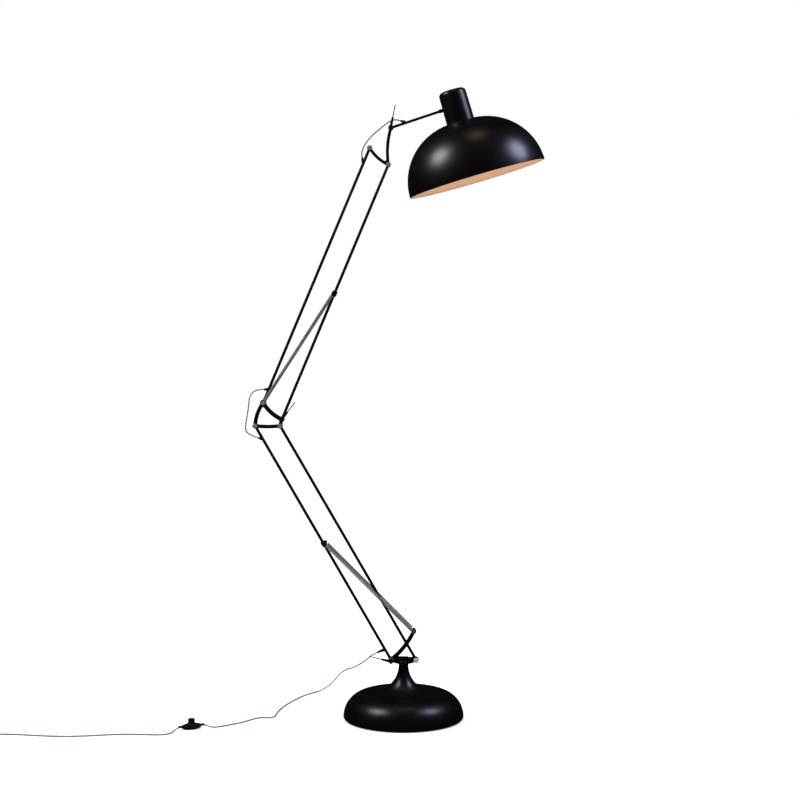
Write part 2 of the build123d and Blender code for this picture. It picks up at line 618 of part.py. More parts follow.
    shade = turned(
        *shade_side(0),
        *shade_side(SHADE_WALL),
        Line((NIPPLE_RADIUS, SHADE_HEIGHT - SHADE_WALL), (NIPPLE_RADIUS, SHADE_HEIGHT)),
        Line((SHADE_RADIUS - SHADE_WALL, 0), (SHADE_RADIUS, 0)),
    )
    rim = Torus(SHADE_RADIUS - RIM_BEAD, RIM_BEAD)
    save("shade", SHADE_FRAME * (shade + rim))


# ---------------------------------------------------------------- cords and what is on them
def mouth(start, lean, exit_facts):
    """Where a cord leaves a grommet, as a plain (x, y, z)."""
    place, angle, reach = exit_facts
    point = exit_line(along(start, lean, place), angle, reach)[1]
    return (point.X, point.Y, point.Z)


def cords():
    """The loops at the elbow and the head, the lead to the foot switch, and the lead beyond it."""
    cord(
        "elbow_cord_lower",
        [
            ELBOW_MIDDLE,
            (-473.0, 0, 884.0),
            (-475.0, 0, 863.0),
            (-461.5, 0, 848.7),
            mouth(YOKE_REAR, LOWER_LEAN, ELBOW_LOW_EXIT),
        ],
    )
    cord(
        "elbow_cord_upper",
        [
            ELBOW_MIDDLE,
            (-464.0, 0, 938.0),
            (-463.0, 0, 962.5),
            (-446.0, 0, 985.7),
            mouth(ELBOW_HIGH, UPPER_LEAN, ELBOW_HIGH_EXIT),
        ],
    )
    cord(
        "head_cord_lower",
        [
            mouth(ELBOW_HIGH, UPPER_LEAN, HEAD_LOW_EXIT),
            (-126.7, 0, 1696.3),
            (-117.0, 0, 1718.5),
            (-101.4, 0, 1741.0),
            HEAD_MIDDLE,
        ],
    )
    cord(
        "head_cord_upper",
        [
            HEAD_MIDDLE,
            (-66.0, 0, 1771.5),
            (-46.5, 0, 1787.0),
            (-26.0, 0, 1797.3),
            mouth(HEAD_PIVOT, ROD_LEAN, ROD_EXIT),
        ],
    )
    cord(
        "lead_from_arm",
        [
            mouth(YOKE_REAR, LOWER_LEAN, LEAD_EXIT),
            (-94.5, 0, 190.3),
            (-108.0, 34, 170.5),
            (-127.0, 82, 147.5),
            AIR_SPLIT,
        ],
    )
    cord(
        "lead_to_floor",
        [
            AIR_SPLIT,
            (-152.0, 145, 120.5),
            (-178.0, 212, 99.5),
            (-197.0, 270, 77.0),
            (-215.0, 318, 47.0),
            (-236.0, 343, 20.0),
            (-264.0, 341, FLOOR_CORD),
            FLOOR_SPLIT,
        ],
    )
    cord(
        "lead_to_switch",
        [
            FLOOR_SPLIT,
            (-295.0, 308, FLOOR_CORD),
            (-325.0, 256, FLOOR_CORD),
            (-349.0, 194, FLOOR_CORD),
            (-367.0, 140, FLOOR_CORD),
            (-379.0, 88, FLOOR_CORD),
            (-383.5, 46, FLOOR_CORD),
            (-385.5, 20, FLOOR_CORD),
            (-389.0, 3, FLOOR_CORD),
            (-402.0, -8, FLOOR_CORD),
            (-420.0, -3, FLOOR_CORD),
            (-438.0, -8.5, FLOOR_CORD),
            (-456.0, -31, FLOOR_CORD),
            (-480.0, -63, FLOOR_CORD),
            (-508.0, -86, FLOOR_CORD),
            (-534.0, -107.5, FLOOR_CORD),
            (-557.0, -119.5, FLOOR_CORD),
            (-573.0, -115.5, 5.5),
            (-587.5, -111.5, 9.0),
        ],
    )
    cord(
        "lead_past_switch",
        [
            (-653.5, -142.5, 9.0),
            (-662.5, -158, 6.0),
            (-670.0, -183, FLOOR_CORD),
            (-690.0, -203, FLOOR_CORD),
            (-722.0, -203.5, FLOOR_CORD),
            (-775.0, -196, FLOOR_CORD),
            (-835.0, -199, FLOOR_CORD),
            (-900.0, -214, FLOOR_CORD),
            (-966.0, -222, FLOOR_CORD),
            (-1032.0, -216, FLOOR_CORD),
            (-1094.0, -203, FLOOR_CORD),
            (-1150.0, -195, FLOOR_CORD),
            (-1200.0, -196.5, FLOOR_CORD),
        ],
    )


def foot_switch():
    """The in-line switch: cover, sole, push button and its spring."""
    place = Location((*SWITCH_PLACE, 0), (0, 0, SWITCH_TURN))
    waist = 4.5
    hull = Pos(0, 0, waist) * scale(Sphere(1.0), by=(SWITCH_LENGTH / 2, SWITCH_WIDTH / 2, SWITCH_TOP - waist))
    room = Pos(0, 0, waist) * scale(
        Sphere(1.0), by=(SWITCH_LENGTH / 2 - 3.0, SWITCH_WIDTH / 2 - 2.5, SWITCH_TOP - waist - 2.5)
    )
    upper_half = Pos(0, 0, 1.2) * Box(100, 60, 40, align=STANDING)
    cover = (hull & upper_half) - room - disc(BUTTON_RADIUS + 0.08, 5.0, 30.0)
    save("switch_cover", place * cover)
    sole = extrude(Ellipse(SWITCH_LENGTH / 2 - 5.0, SWITCH_WIDTH / 2 - 3.5), 1.2)
    save("switch_sole", place * sole)
    button = disc(BUTTON_RADIUS, 7.0, BUTTON_TOP)
    button = fillet(button.edges().sort_by(Axis.Z)[-1], 2.0)
    save("switch_button", place * button)
    save("switch_spring", place * (disc(6.0, 1.2, 7.0) - disc(4.8, 1.2, 7.0)))


def coil_and_plug():
    """The lead's put-away length as one ring, and the plug at its end."""
    middle = (COIL_INNER + COIL_OUTER) / 2
    section = Pos(middle, COIL_HEIGHT / 2) * RectangleRounded(COIL_OUTER - COIL_INNER, COIL_HEIGHT, 2.3)
    save("lead_coil", Pos(*COIL_PLACE, 0) * revolve(Plane.XZ * section, Axis.Z))

    half = PLUG_HEIGHT / 2
    block = Box(PLUG_START - PLUG_END, PLUG_WIDTH, PLUG_HEIGHT)
    body = Pos((PLUG_START + PLUG_END) / 2, PLUG_LINE, half) * block
    body = fillet(body.edges().filter_by(Axis.X), 4.0)
    cone = Cone(5.6, 3.4, PLUG_SLEEVE - PLUG_START, align=STANDING)
    sleeve = Plane(origin=(PLUG_START, PLUG_LINE, half), z_dir=(1, 0, 0)) * cone
    sleeve -= bar((PLUG_START, PLUG_LINE, half), (PLUG_SLEEVE, PLUG_LINE, half), CORD_HOLE)
    save("plug_body", body + sleeve)
    lines = [PLUG_LINE + side * PIN_SPREAD / 2 for side in (-1, 1)]
    save("plug_pins", *[bar((PLUG_END, y, half), (PLUG_TIP, y, half), 2.0) for y in lines])


foot()
yoke()
arms()
elbow()
head_bracket()
head()
cords()
foot_switch()
coil_and_plug()
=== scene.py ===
import json
import logging
import math
from dataclasses import dataclass, field
from enum import Enum

import bmesh
import bpy
from mathutils import Matrix, Vector


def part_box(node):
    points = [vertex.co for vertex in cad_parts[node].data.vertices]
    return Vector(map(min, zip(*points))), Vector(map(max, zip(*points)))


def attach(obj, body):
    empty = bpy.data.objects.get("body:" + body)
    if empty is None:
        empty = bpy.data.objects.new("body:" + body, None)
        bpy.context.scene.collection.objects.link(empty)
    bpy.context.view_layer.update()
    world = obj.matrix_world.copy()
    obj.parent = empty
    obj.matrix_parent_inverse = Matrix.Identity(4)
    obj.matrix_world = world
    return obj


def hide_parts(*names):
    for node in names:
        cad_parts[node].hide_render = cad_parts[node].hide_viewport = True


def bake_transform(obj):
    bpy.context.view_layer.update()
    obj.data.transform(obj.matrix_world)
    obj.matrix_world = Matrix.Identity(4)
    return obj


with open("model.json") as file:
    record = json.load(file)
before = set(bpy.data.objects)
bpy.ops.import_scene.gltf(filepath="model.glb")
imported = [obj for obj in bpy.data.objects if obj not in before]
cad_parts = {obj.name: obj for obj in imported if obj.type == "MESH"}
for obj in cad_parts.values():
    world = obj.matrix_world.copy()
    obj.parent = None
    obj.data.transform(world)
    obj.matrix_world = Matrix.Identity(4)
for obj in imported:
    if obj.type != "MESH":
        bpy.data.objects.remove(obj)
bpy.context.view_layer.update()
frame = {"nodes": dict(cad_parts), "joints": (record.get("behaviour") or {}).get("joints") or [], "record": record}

log = logging.getLogger("lamp")

MM = 0.001
Colour = tuple[float, float, float]
Point = tuple[float, float, float]
Mesh = bmesh.types.BMesh
Socket = bpy.types.NodeSocket


class Side(Enum):
    """The two sides of the plane that the arms move in."""

    NEAR = -1
    FAR = 1


class Grain(Enum):
    """How a surface's small relief is drawn out along X, Y and Z."""

    EVEN = (1.0, 1.0, 1.0)
    DRAWN = (1.0, 1.0, 0.03)
    NAPPED = (1.0, 0.35, 1.0)


# ---- places given by the frame
def joint_row(name: str) -> dict:
    """One joint of the frame.

    Args:
        name: the joint's name.

    Returns:
        Its row, with its place, axis and range.
    """
    return next(row for row in frame["joints"] if row["name"] == name)


def joint_place(name: str) -> Vector:
    """A point on a hinge's axis, in metres."""
    return Vector(joint_row(name)["pos_m"])


def along(start: Vector, lean: float, distance: float) -> Vector:
    """A point on a line in the plane of the arms.

    Args:
        start: where the line starts.
        lean: degrees from the vertical towards +X.
        distance: how far along it, in metres.

    Returns:
        The point.
    """
    turn = math.radians(lean)
    return start + distance * Vector((math.sin(turn), 0.0, math.cos(turn)))


def bearing(degrees: float) -> Vector:
    """A direction in the plane of the arms, in degrees from +X towards +Z."""
    turn = math.radians(degrees)
    return Vector((math.cos(turn), 0.0, math.sin(turn)))


def metres(*route: Point) -> list[Vector]:
    """A route given in millimetres, as points in metres."""
    return [Vector(point) * MM for point in route]


def standing_on(origin: Vector, up: Vector, across: Vector = Vector((0.0, 1.0, 0.0))) -> Matrix:
    """The place of a turned piece.

    Args:
        origin: where its own origin goes.
        up: where its own Z points.
        across: a direction that its own Y keeps to as nearly as it can.

    Returns:
        The matrix from its own coordinates to the frame's.
    """
    z_axis = up.normalized()
    x_axis = across.cross(z_axis).normalized()
    y_axis = z_axis.cross(x_axis)
    turn = Matrix((x_axis, y_axis, z_axis)).transposed()
    return Matrix.Translation(origin) @ turn.to_4x4()


# ---- shared shader groups
NOISE_MIDDLE = {"From Min": 0.3, "From Max": 0.7}
SCRATCH_LINE = {"From Min": 0.0, "From Max": 0.02, "To Min": 1.0, "To Max": 0.0}


class ShaderTree:
    """The nodes of a material, a world or a group."""

    def __init__(self, tree: bpy.types.NodeTree) -> None:
        """Work on a tree."""
        self.tree = tree

    def node(self, kind: str, inputs: dict | None = None, **settings: object) -> bpy.types.Node:
        """Add a node.

        Args:
            kind: its type, without the word that all shader nodes start with.
            inputs: what its inputs take, each a socket or a value.
            settings: its other settings.

        Returns:
            The node.
        """
        made = self.tree.nodes.new(f"ShaderNode{kind}")
        for title, value in settings.items():
            setattr(made, title, value)
        self.feed(made, inputs or {})
        return made

    def feed(self, node: bpy.types.Node, inputs: dict) -> None:
        """Join sockets to a node's inputs, or give the inputs values.

        Args:
            node: the node.
            inputs: what its inputs take, each a socket or a value.
        """
        for title, value in inputs.items():
            if isinstance(value, Socket):
                self.tree.links.new(value, node.inputs[title])
            else:
                node.inputs[title].default_value = value

    def math(self, operation: str, *values: object, **settings: object) -> Socket:
        """Work out a sum of sockets and numbers."""
        return self.node("Math", dict(enumerate(values)), operation=operation, **settings).outputs[0]


class ShaderGroup(ShaderTree):
    """A node group with named inputs and outputs, built once and used by many materials."""

    def __init__(self, name: str, inputs: dict[str, object], outputs: dict[str, str]) -> None:
        """Make the group and its sockets.

        Args:
            name: the group's name.
            inputs: each input's name and its default, a number, a colour or None for a vector.
            outputs: each output's name and its socket type.
        """
        super().__init__(bpy.data.node_groups.new(name, "ShaderNodeTree"))
        for title, default in inputs.items():
            kind = "Vector" if default is None else "Color" if isinstance(default, tuple) else "Float"
            socket = self.tree.interface.new_socket(title, in_out="INPUT", socket_type=f"NodeSocket{kind}")
            if default is not None:
                socket.default_value = (*default, 1.0) if isinstance(default, tuple) else default
        for title, kind in outputs.items():
            self.tree.interface.new_socket(title, in_out="OUTPUT", socket_type=f"NodeSocket{kind}")
        self.given = self.tree.nodes.new("NodeGroupInput").outputs
        self.sink = self.tree.nodes.new("NodeGroupOutput")

    def noise(self, scale: Socket, detail: float, roughness: float = 0.5) -> Socket:
        """Noise on the group's own vector, with its octaves and how strong the fine ones are."""
        inputs = {"Vector": self.given["Vector"], "Scale": scale, "Detail": detail, "Roughness": roughness}
        return self.node("TexNoise", inputs).outputs["Fac"]

    def spread(self, value: Socket, low: object, high: object) -> Socket:
        """Map the middle of a noise to a range, whose ends are numbers or sockets."""
        inputs = {**NOISE_MIDDLE, "Value": value, "To Min": low, "To Max": high}
        return self.node("MapRange", inputs).outputs["Result"]


def coat_group() -> ShaderGroup:
    """Slow patches of tone and gloss, as a sprayed or moulded skin has them.

    Returns:
        The group.
    """
    group = ShaderGroup(
        "skin_patches",
        {
            "Vector": None,
            "Patch Scale": 6.0,
            "Colour": (0.5, 0.5, 0.5),
            "Second Colour": (0.6, 0.6, 0.6),
            "Low Roughness": 0.3,
            "High Roughness": 0.5,
        },
        {"Colour": "Color", "Roughness": "Float"},
    )
    given = group.given
    patches = group.noise(given["Patch Scale"], 4.0, 0.55)
    colours = {0: group.spread(patches, 0.0, 1.0), 6: given["Colour"], 7: given["Second Colour"]}
    mixed = group.node("Mix", colours, data_type="RGBA").outputs[2]
    gloss = group.spread(patches, given["Low Roughness"], given["High Roughness"])
    group.feed(group.sink, {"Colour": mixed, "Roughness": gloss})
    return group


def relief_group() -> ShaderGroup:
    """Fine relief: a noise with a weaker, finer one on it.

    Returns:
        The group.
    """
    group = ShaderGroup("fine_relief", {"Vector": None, "Grain Scale": 900.0}, {"Height": "Float"})
    scale, finer, weaker = group.given["Grain Scale"], 3.1, 0.4
    coarse = group.noise(scale, 2.0)
    fine = group.noise(group.math("MULTIPLY", scale, finer), 2.0, 0.6)
    group.feed(group.sink, {"Height": group.math("MULTIPLY_ADD", fine, weaker, coarse)})
    return group


def scuff_group() -> ShaderGroup:
    """Sparse fine scratches, as handling leaves them.

    Returns:
        The group.
    """
    defaults = {"Vector": None, "Scuff Scale": 60.0, "Amount": 0.3}
    group = ShaderGroup("light_scuffs", defaults, {"Mask": "Float"})
    scale = group.given["Scuff Scale"]
    cells = {"Vector": group.given["Vector"], "Scale": scale}
    edges = group.node("TexVoronoi", cells, feature="DISTANCE_TO_EDGE").outputs["Distance"]
    line = group.node("MapRange", {**SCRATCH_LINE, "Value": edges}).outputs["Result"]
    where = group.spread(group.noise(scale, 3.0), 0.0, 1.0)
    kept = group.math("MULTIPLY", line, where)
    group.feed(group.sink, {"Mask": group.math("MULTIPLY", kept, group.given["Amount"])})
    return group


SKIN = coat_group()
RELIEF = relief_group()
SCUFFS = scuff_group()


# ---- finishes
MADE: dict[str, bpy.types.Material] = {}


@dataclass(frozen=True)
class Finish:
    """A surface finish: its colours, gloss and relief.

    Attributes:
        name: the material's name.
        colour: base colour.
        second: the colour that patches of it drift to.
        low: roughness of the glossiest patches.
        high: roughness of the dullest patches.
        grain: how the fine relief is drawn out.
        grain_size: the relief's size, in metres.
        depth: the relief's height, in metres.
        patch: the size of the slow patches, in metres.
        metallic: 1 for bare metal.
        scuffs: how strong fine scratches are in the roughness.
        coat: the weight of a clear coat.
        coat_roughness: that coat's roughness.
        sheen: the weight of a soft sheen.
        transmission: the share of light that passes through.
        specular: the level of plain reflection.
        ior: index of refraction.
    """

    name: str
    colour: Colour
    second: Colour
    low: float
    high: float
    grain: Grain = Grain.EVEN
    grain_size: float = 0.0012
    depth: float = 0.00002
    patch: float = 0.12
    metallic: float = 0.0
    scuffs: float = 0.0
    coat: float = 0.0
    coat_roughness: float = 0.1
    sheen: float = 0.0
    transmission: float = 0.0
    specular: float = 0.5
    ior: float = 1.5

    def make(self) -> bpy.types.Material:
        """Build the material.

        Returns:
            The material, made once for each finish.
        """
        if self.name in MADE:
            return MADE[self.name]
        material = MADE[self.name] = bpy.data.materials.new(self.name)
        material.use_nodes = True
        material.diffuse_color = (*self.colour, 1.0)
        tree = ShaderTree(material.node_tree)
        place = tree.node("TexCoord").outputs["Object"]
        tree.feed(
            material.node_tree.nodes["Principled BSDF"],
            {
                **self._skin(tree, place),
                "Normal": self._relief(tree, place),
                "Metallic": self.metallic,
                "Coat Weight": self.coat,
                "Coat Roughness": self.coat_roughness,
                "Sheen Weight": self.sheen,
                "Transmission Weight": self.transmission,
                "Specular IOR Level": self.specular,
                "IOR": self.ior,
            },
        )
        return material

    def _skin(self, tree: ShaderTree, place: Socket) -> dict[str, Socket]:
        """Lay the patches of tone and gloss, and any scuffs.

        Args:
            tree: the material's nodes.
            place: the place on the piece.

        Returns:
            The sockets that the shader's colour and roughness take.
        """
        inputs = {
            "Vector": place,
            "Patch Scale": 1.0 / self.patch,
            "Colour": (*self.colour, 1.0),
            "Second Colour": (*self.second, 1.0),
            "Low Roughness": self.low,
            "High Roughness": self.high,
        }
        skin = tree.node("Group", inputs, node_tree=SKIN.tree)
        gloss = skin.outputs["Roughness"]
        if self.scuffs:
            marks = tree.node("Group", {"Vector": place, "Amount": self.scuffs}, node_tree=SCUFFS.tree)
            gloss = tree.math("ADD", gloss, marks.outputs["Mask"], use_clamp=True)
        return {"Base Color": skin.outputs["Colour"], "Roughness": gloss}

    def _relief(self, tree: ShaderTree, place: Socket) -> Socket:
        """Lay the fine relief.

        Args:
            tree: the material's nodes.
            place: the place on the piece.

        Returns:
            The socket that the shader's normal takes.
        """
        drawn = tree.node("Mapping", {"Vector": place, "Scale": self.grain.value})
        inputs = {"Vector": drawn.outputs["Vector"], "Grain Scale": 1.0 / self.grain_size}
        height = tree.node("Group", inputs, node_tree=RELIEF.tree).outputs["Height"]
        bump = {"Strength": 1.0, "Distance": self.depth, "Height": height}
        return tree.node("Bump", bump).outputs["Normal"]


SATIN_BLACK = Finish(
    "satin_black_paint", (0.0010, 0.0008, 0.0011), (0.0016, 0.0014, 0.0017), 0.31, 0.35,
    grain_size=0.0016, depth=0.00001, patch=0.2, scuffs=0.04, specular=0.40,
)
FRAME_BLACK = Finish(
    "frame_black_paint", (0.0012, 0.0010, 0.0012), (0.0022, 0.0020, 0.0022), 0.34, 0.42,
    grain_size=0.0010, depth=0.00001, patch=0.06, scuffs=0.10, specular=0.22,
)
# A flat peach for the inside of the shade.
PEACH_INSIDE = Finish(
    "peach_inside", (0.72, 0.475, 0.295), (0.69, 0.45, 0.275), 0.55, 0.65,
    grain_size=0.0020, depth=0.00002, patch=0.15, specular=0.35,
)
CAST_IRON = Finish(
    "cast_iron", (0.06, 0.058, 0.056), (0.10, 0.085, 0.07), 0.6, 0.8,
    grain_size=0.003, depth=0.0003, patch=0.05, metallic=0.6,
)
ZINC = Finish(
    "zinc_plate", (0.36, 0.355, 0.35), (0.28, 0.275, 0.27), 0.32, 0.5,
    grain=Grain.DRAWN, grain_size=0.0006, depth=0.00001, patch=0.03, metallic=1.0, scuffs=0.1,
)
SPRING_STEEL = Finish(
    "spring_steel", (0.24, 0.232, 0.228), (0.17, 0.163, 0.16), 0.45, 0.6,
    grain=Grain.DRAWN, grain_size=0.0005, depth=0.00001, patch=0.04, metallic=0.5, specular=0.3,
)
# Plated screws and pins: a light grey, half diffuse, that the white surroundings light evenly. This is painted
# reflection, standing in for the plating's mirror of the white.
PAINTED_REFLECTION_SCREW = Finish(
    "screw_with_painted_reflection", (0.62, 0.62, 0.63), (0.52, 0.52, 0.54), 0.36, 0.48,
    grain=Grain.DRAWN, grain_size=0.0004, depth=0.000005, patch=0.01, metallic=0.45, scuffs=0.12,
)
GREY_SCREW = Finish(
    "grey_screw", (0.27, 0.268, 0.265), (0.19, 0.187, 0.185), 0.36, 0.5,
    grain=Grain.DRAWN, grain_size=0.0004, depth=0.000005, patch=0.01, metallic=0.5, scuffs=0.12,
)
DARK_STEEL = Finish(
    "dark_steel", (0.060, 0.058, 0.056), (0.085, 0.082, 0.080), 0.36, 0.5,
    grain=Grain.DRAWN, grain_size=0.0004, depth=0.000005, patch=0.02, metallic=0.5, scuffs=0.12, specular=0.2,
)
BRASS = Finish(
    "turned_brass", (0.60, 0.42, 0.17), (0.45, 0.30, 0.12), 0.25, 0.45,
    grain_size=0.0006, depth=0.000006, patch=0.02, metallic=1.0, scuffs=0.2,
)
BLACK_RUBBER = Finish(
    "soft_black_rubber", (0.0030, 0.0028, 0.0030), (0.0055, 0.0050, 0.0052), 0.6, 0.75,
    grain_size=0.0007, depth=0.00003, patch=0.02, specular=0.15,
)
BLACK_PLASTIC = Finish(
    "moulded_black_plastic", (0.0022, 0.0020, 0.0022), (0.0040, 0.0036, 0.0040), 0.34, 0.46,
    grain_size=0.0005, depth=0.00001, patch=0.03, scuffs=0.10, specular=0.12,
)
FELT = Finish(
    "grey_felt", (0.03, 0.03, 0.032), (0.05, 0.05, 0.052), 0.9, 1.0,
    grain=Grain.NAPPED, grain_size=0.0008, depth=0.0003, patch=0.01, sheen=0.4,
)
COPPER_CORE = Finish(
    "rose_core_in_clear_sheath", (0.27, 0.115, 0.092), (0.22, 0.090, 0.070), 0.4, 0.55,
    grain_size=0.0006, depth=0.00002, patch=0.012, metallic=0.15, coat=0.5, coat_roughness=0.25,
)
TINNED_CORE = Finish(
    "tinned_core_in_clear_sheath", (0.20, 0.155, 0.15), (0.155, 0.12, 0.118), 0.4, 0.55,
    grain_size=0.0006, depth=0.00002, patch=0.012, metallic=0.15, coat=0.5, coat_roughness=0.25,
)
PORCELAIN = Finish(
    "glazed_porcelain", (0.78, 0.77, 0.73), (0.72, 0.71, 0.67), 0.18, 0.26,
    grain_size=0.002, depth=0.00001, patch=0.02, coat=0.5,
)
OPAL_GLASS = Finish(
    "opal_glass", (0.93, 0.92, 0.90), (0.90, 0.89, 0.86), 0.22, 0.3,
    grain_size=0.003, depth=0.000004, patch=0.03, transmission=0.35, ior=1.48,
)

SLOT_FINISH: dict[str, Finish] = {
    "black_paint": FRAME_BLACK,
    "iron": CAST_IRON,
    "zinc": ZINC,
    "screw_steel": GREY_SCREW,
    "brass": BRASS,
    "black_rubber": BLACK_RUBBER,
    "black_plastic": BLACK_PLASTIC,
    "felt": FELT,
    "cord": TINNED_CORE,
    "porcelain": PORCELAIN,
    "bulb": OPAL_GLASS,
}
NODE_FINISH: dict[str, Finish] = {
    "base_shell": SATIN_BLACK,
    "head_cap": SATIN_BLACK,
    "neck_bush": BLACK_PLASTIC,
    # The pivot screws and the plug's pins take the screw finish with painted reflection.
    "yoke_pivot_screws": PAINTED_REFLECTION_SCREW,
    "yoke_saddle_screws": FRAME_BLACK,
    "lower_spring_studs": DARK_STEEL,
    "plug_pins": PAINTED_REFLECTION_SCREW,
}


# ---- makers
@dataclass
class Workpiece:
    """A mesh being made, with the finishes its faces take.

    Attributes:
        name: the finished object's name.
        finishes: its finishes, in the order of the faces' numbers.
        bm: the mesh itself.
    """

    name: str
    finishes: tuple[Finish, ...]
    bm: Mesh = field(default_factory=bmesh.new)

    def add(self, other: Mesh, place: Matrix | None = None, finish: int = 0) -> None:
        """Take in another mesh.

        Args:
            other: the mesh, which is used up.
            place: where it goes.
            finish: which of the finishes it takes.
        """
        if place is not None:
            bmesh.ops.transform(other, matrix=place, verts=other.verts)
        for face in other.faces:
            face.material_index = finish
        passing = bpy.data.meshes.new("passing")
        other.to_mesh(passing)
        other.free()
        self.bm.from_mesh(passing)
        bpy.data.meshes.remove(passing)

    def finish(self, slot: str, sharp: float = 35.0) -> bpy.types.Object:
        """Make the object.

        Args:
            slot: the record's material slot that it belongs to; not used.
            sharp: the angle, in degrees, past which an edge is sharp.

        Returns:
            The object, at the origin, with its place in its mesh.
        """
        mesh = bpy.data.meshes.new(self.name)
        self.bm.to_mesh(mesh)
        self.bm.free()
        mesh.polygons.foreach_set("use_smooth", [True] * len(mesh.polygons))
        mesh.set_sharp_from_angle(angle=math.radians(sharp))
        for one in self.finishes:
            mesh.materials.append(one.make())
        made = bpy.data.objects.new(self.name, mesh)
        bpy.context.scene.collection.objects.link(made)
        log.info("%s: %d faces", self.name, len(mesh.polygons))
        return made


@dataclass
class Lathe:
    """A half section drawn in millimetres of radius and height, then turned about Z.

    Attributes:
        steps: how many steps a full turn takes.
        bm: the mesh that holds the section.
        tip: the section's last point.
    """

    steps: int = 64
    bm: Mesh = field(default_factory=bmesh.new)
    tip: Vector = field(default_factory=Vector)

    def start(self, radius: float, height: float) -> "Lathe":
        """Put the section's first point down."""
        self.tip = Vector((radius, 0.0, height)) * MM
        return self

    def line(self, radius: float, height: float) -> "Lathe":
        """Draw a straight edge to a point.

        Args:
            radius: the point's distance from the axis.
            height: its height.

        Returns:
            The lathe, so that calls can be chained.
        """
        first = self.bm.verts.new(self.tip)
        self.tip = Vector((radius, 0.0, height)) * MM
        self.bm.edges.new((first, self.bm.verts.new(self.tip)))
        return self

    def arc(self, radius: float, height: float, degrees: float, steps: int = 8) -> "Lathe":
        """Draw an arc about a centre.

        Args:
            radius: the centre's distance from the axis.
            height: the centre's height.
            degrees: how far it goes, from outwards to upwards.
            steps: how many edges it has.

        Returns:
            The lathe, so that calls can be chained.
        """
        first = self.bm.verts.new(self.tip)
        turned = bmesh.ops.spin(
            self.bm,
            geom=[first],
            cent=Vector((radius, 0.0, height)) * MM,
            axis=(0.0, 1.0, 0.0),
            angle=-math.radians(degrees),
            steps=steps,
            use_duplicate=False,
        )
        last = next(item for item in turned["geom_last"] if isinstance(item, bmesh.types.BMVert))
        self.tip = last.co.copy()
        return self

    def turn(self) -> Mesh:
        """Turn the section into a closed surface.

        Returns:
            The mesh, in metres, about its own Z axis.
        """
        bmesh.ops.remove_doubles(self.bm, verts=self.bm.verts, dist=1e-7)
        bmesh.ops.spin(
            self.bm,
            geom=[*self.bm.verts, *self.bm.edges],
            cent=(0.0, 0.0, 0.0),
            axis=(0.0, 0.0, 1.0),
            angle=math.tau,
            steps=self.steps,
            use_merge=True,
            use_duplicate=False,
        )
        bmesh.ops.remove_doubles(self.bm, verts=self.bm.verts, dist=2e-6)
        bmesh.ops.recalc_face_normals(self.bm, faces=self.bm.faces)
        return self.bm


def curve_mesh(points: list[Vector], radius: float, smooth: bool, fineness: int) -> bpy.types.Mesh:
    """The mesh of a line, or of a round wire along it.

    Args:
        points: the line, or the places that a smooth line is drawn towards.
        radius: the wire's radius in metres, or 0 for a bare line.
        smooth: whether the line only bends towards the points.
        fineness: how many steps each run of a smooth line gets.

    Returns:
        The mesh.
    """
    curve = bpy.data.curves.new("line", "CURVE")
    curve.dimensions = "3D"
    curve.bevel_depth = radius
    curve.bevel_resolution = 1
    curve.use_fill_caps = radius > 0.0
    spline = curve.splines.new("NURBS" if smooth else "POLY")
    spline.points.add(len(points) - 1)
    for knot, place in zip(spline.points, points):
        knot.co = (*place, 1.0)
    if smooth:
        spline.order_u = 3
        spline.use_endpoint_u = True
        spline.resolution_u = fineness
    holder = bpy.data.objects.new("line", curve)
    mesh = bpy.data.meshes.new_from_object(holder)
    bpy.data.objects.remove(holder)
    bpy.data.curves.remove(curve)
    return mesh


def curve_points(route: list[Vector]) -> list[Vector]:
    """The smooth line that a cord's route makes.

    Args:
        route: the points that the line is drawn towards.

    Returns:
        The points of the line.
    """
    mesh = curve_mesh(route, 0.0, True, 12)
    points = [vertex.co.copy() for vertex in mesh.vertices]
    bpy.data.meshes.remove(mesh)
    return points


def drawn_wire(points: list[Vector], radius: float, smooth: bool = False) -> Mesh:
    """A round wire along a line.

    Args:
        points: the line.
        radius: the wire's radius, in metres.
        smooth: whether the wire only bends towards the points.

    Returns:
        The wire's mesh, with its ends closed.
    """
    mesh = curve_mesh(points, radius, smooth, 6)
    made = bmesh.new()
    made.from_mesh(mesh)
    bpy.data.meshes.remove(mesh)
    bmesh.ops.remove_doubles(made, verts=made.verts, dist=1e-6)
    bmesh.ops.recalc_face_normals(made, faces=made.faces)
    return made


def rounded(bm: Mesh, edges: list[bmesh.types.BMEdge], offset: float, segments: int) -> None:
    """Round some of a mesh's edges over.

    Args:
        bm: the mesh.
        edges: the edges to round.
        offset: how far the rounding reaches, in millimetres.
        segments: how many faces it has.
    """
    bmesh.ops.bevel(
        bm, geom=edges, offset=offset * MM, segments=segments, profile=0.5, affect="EDGES", material=-1
    )


def evenly(points: list[Vector], step: float) -> list[Vector]:
    """Points a step apart on a line.

    Args:
        points: the line.
        step: the distance wanted, in metres.

    Returns:
        The new points, with the line's own ends.
    """
    lengths = [(b - a).length for a, b in zip(points, points[1:])]
    total = sum(lengths)
    count = max(4, round(total / step))
    made, run, passed = [points[0].copy()], 0, 0.0
    for number in range(1, count):
        wanted = total * number / count
        while passed + lengths[run] < wanted:
            passed += lengths[run]
            run += 1
        made.append(points[run].lerp(points[run + 1], (wanted - passed) / lengths[run]))
    return [*made, points[-1].copy()]


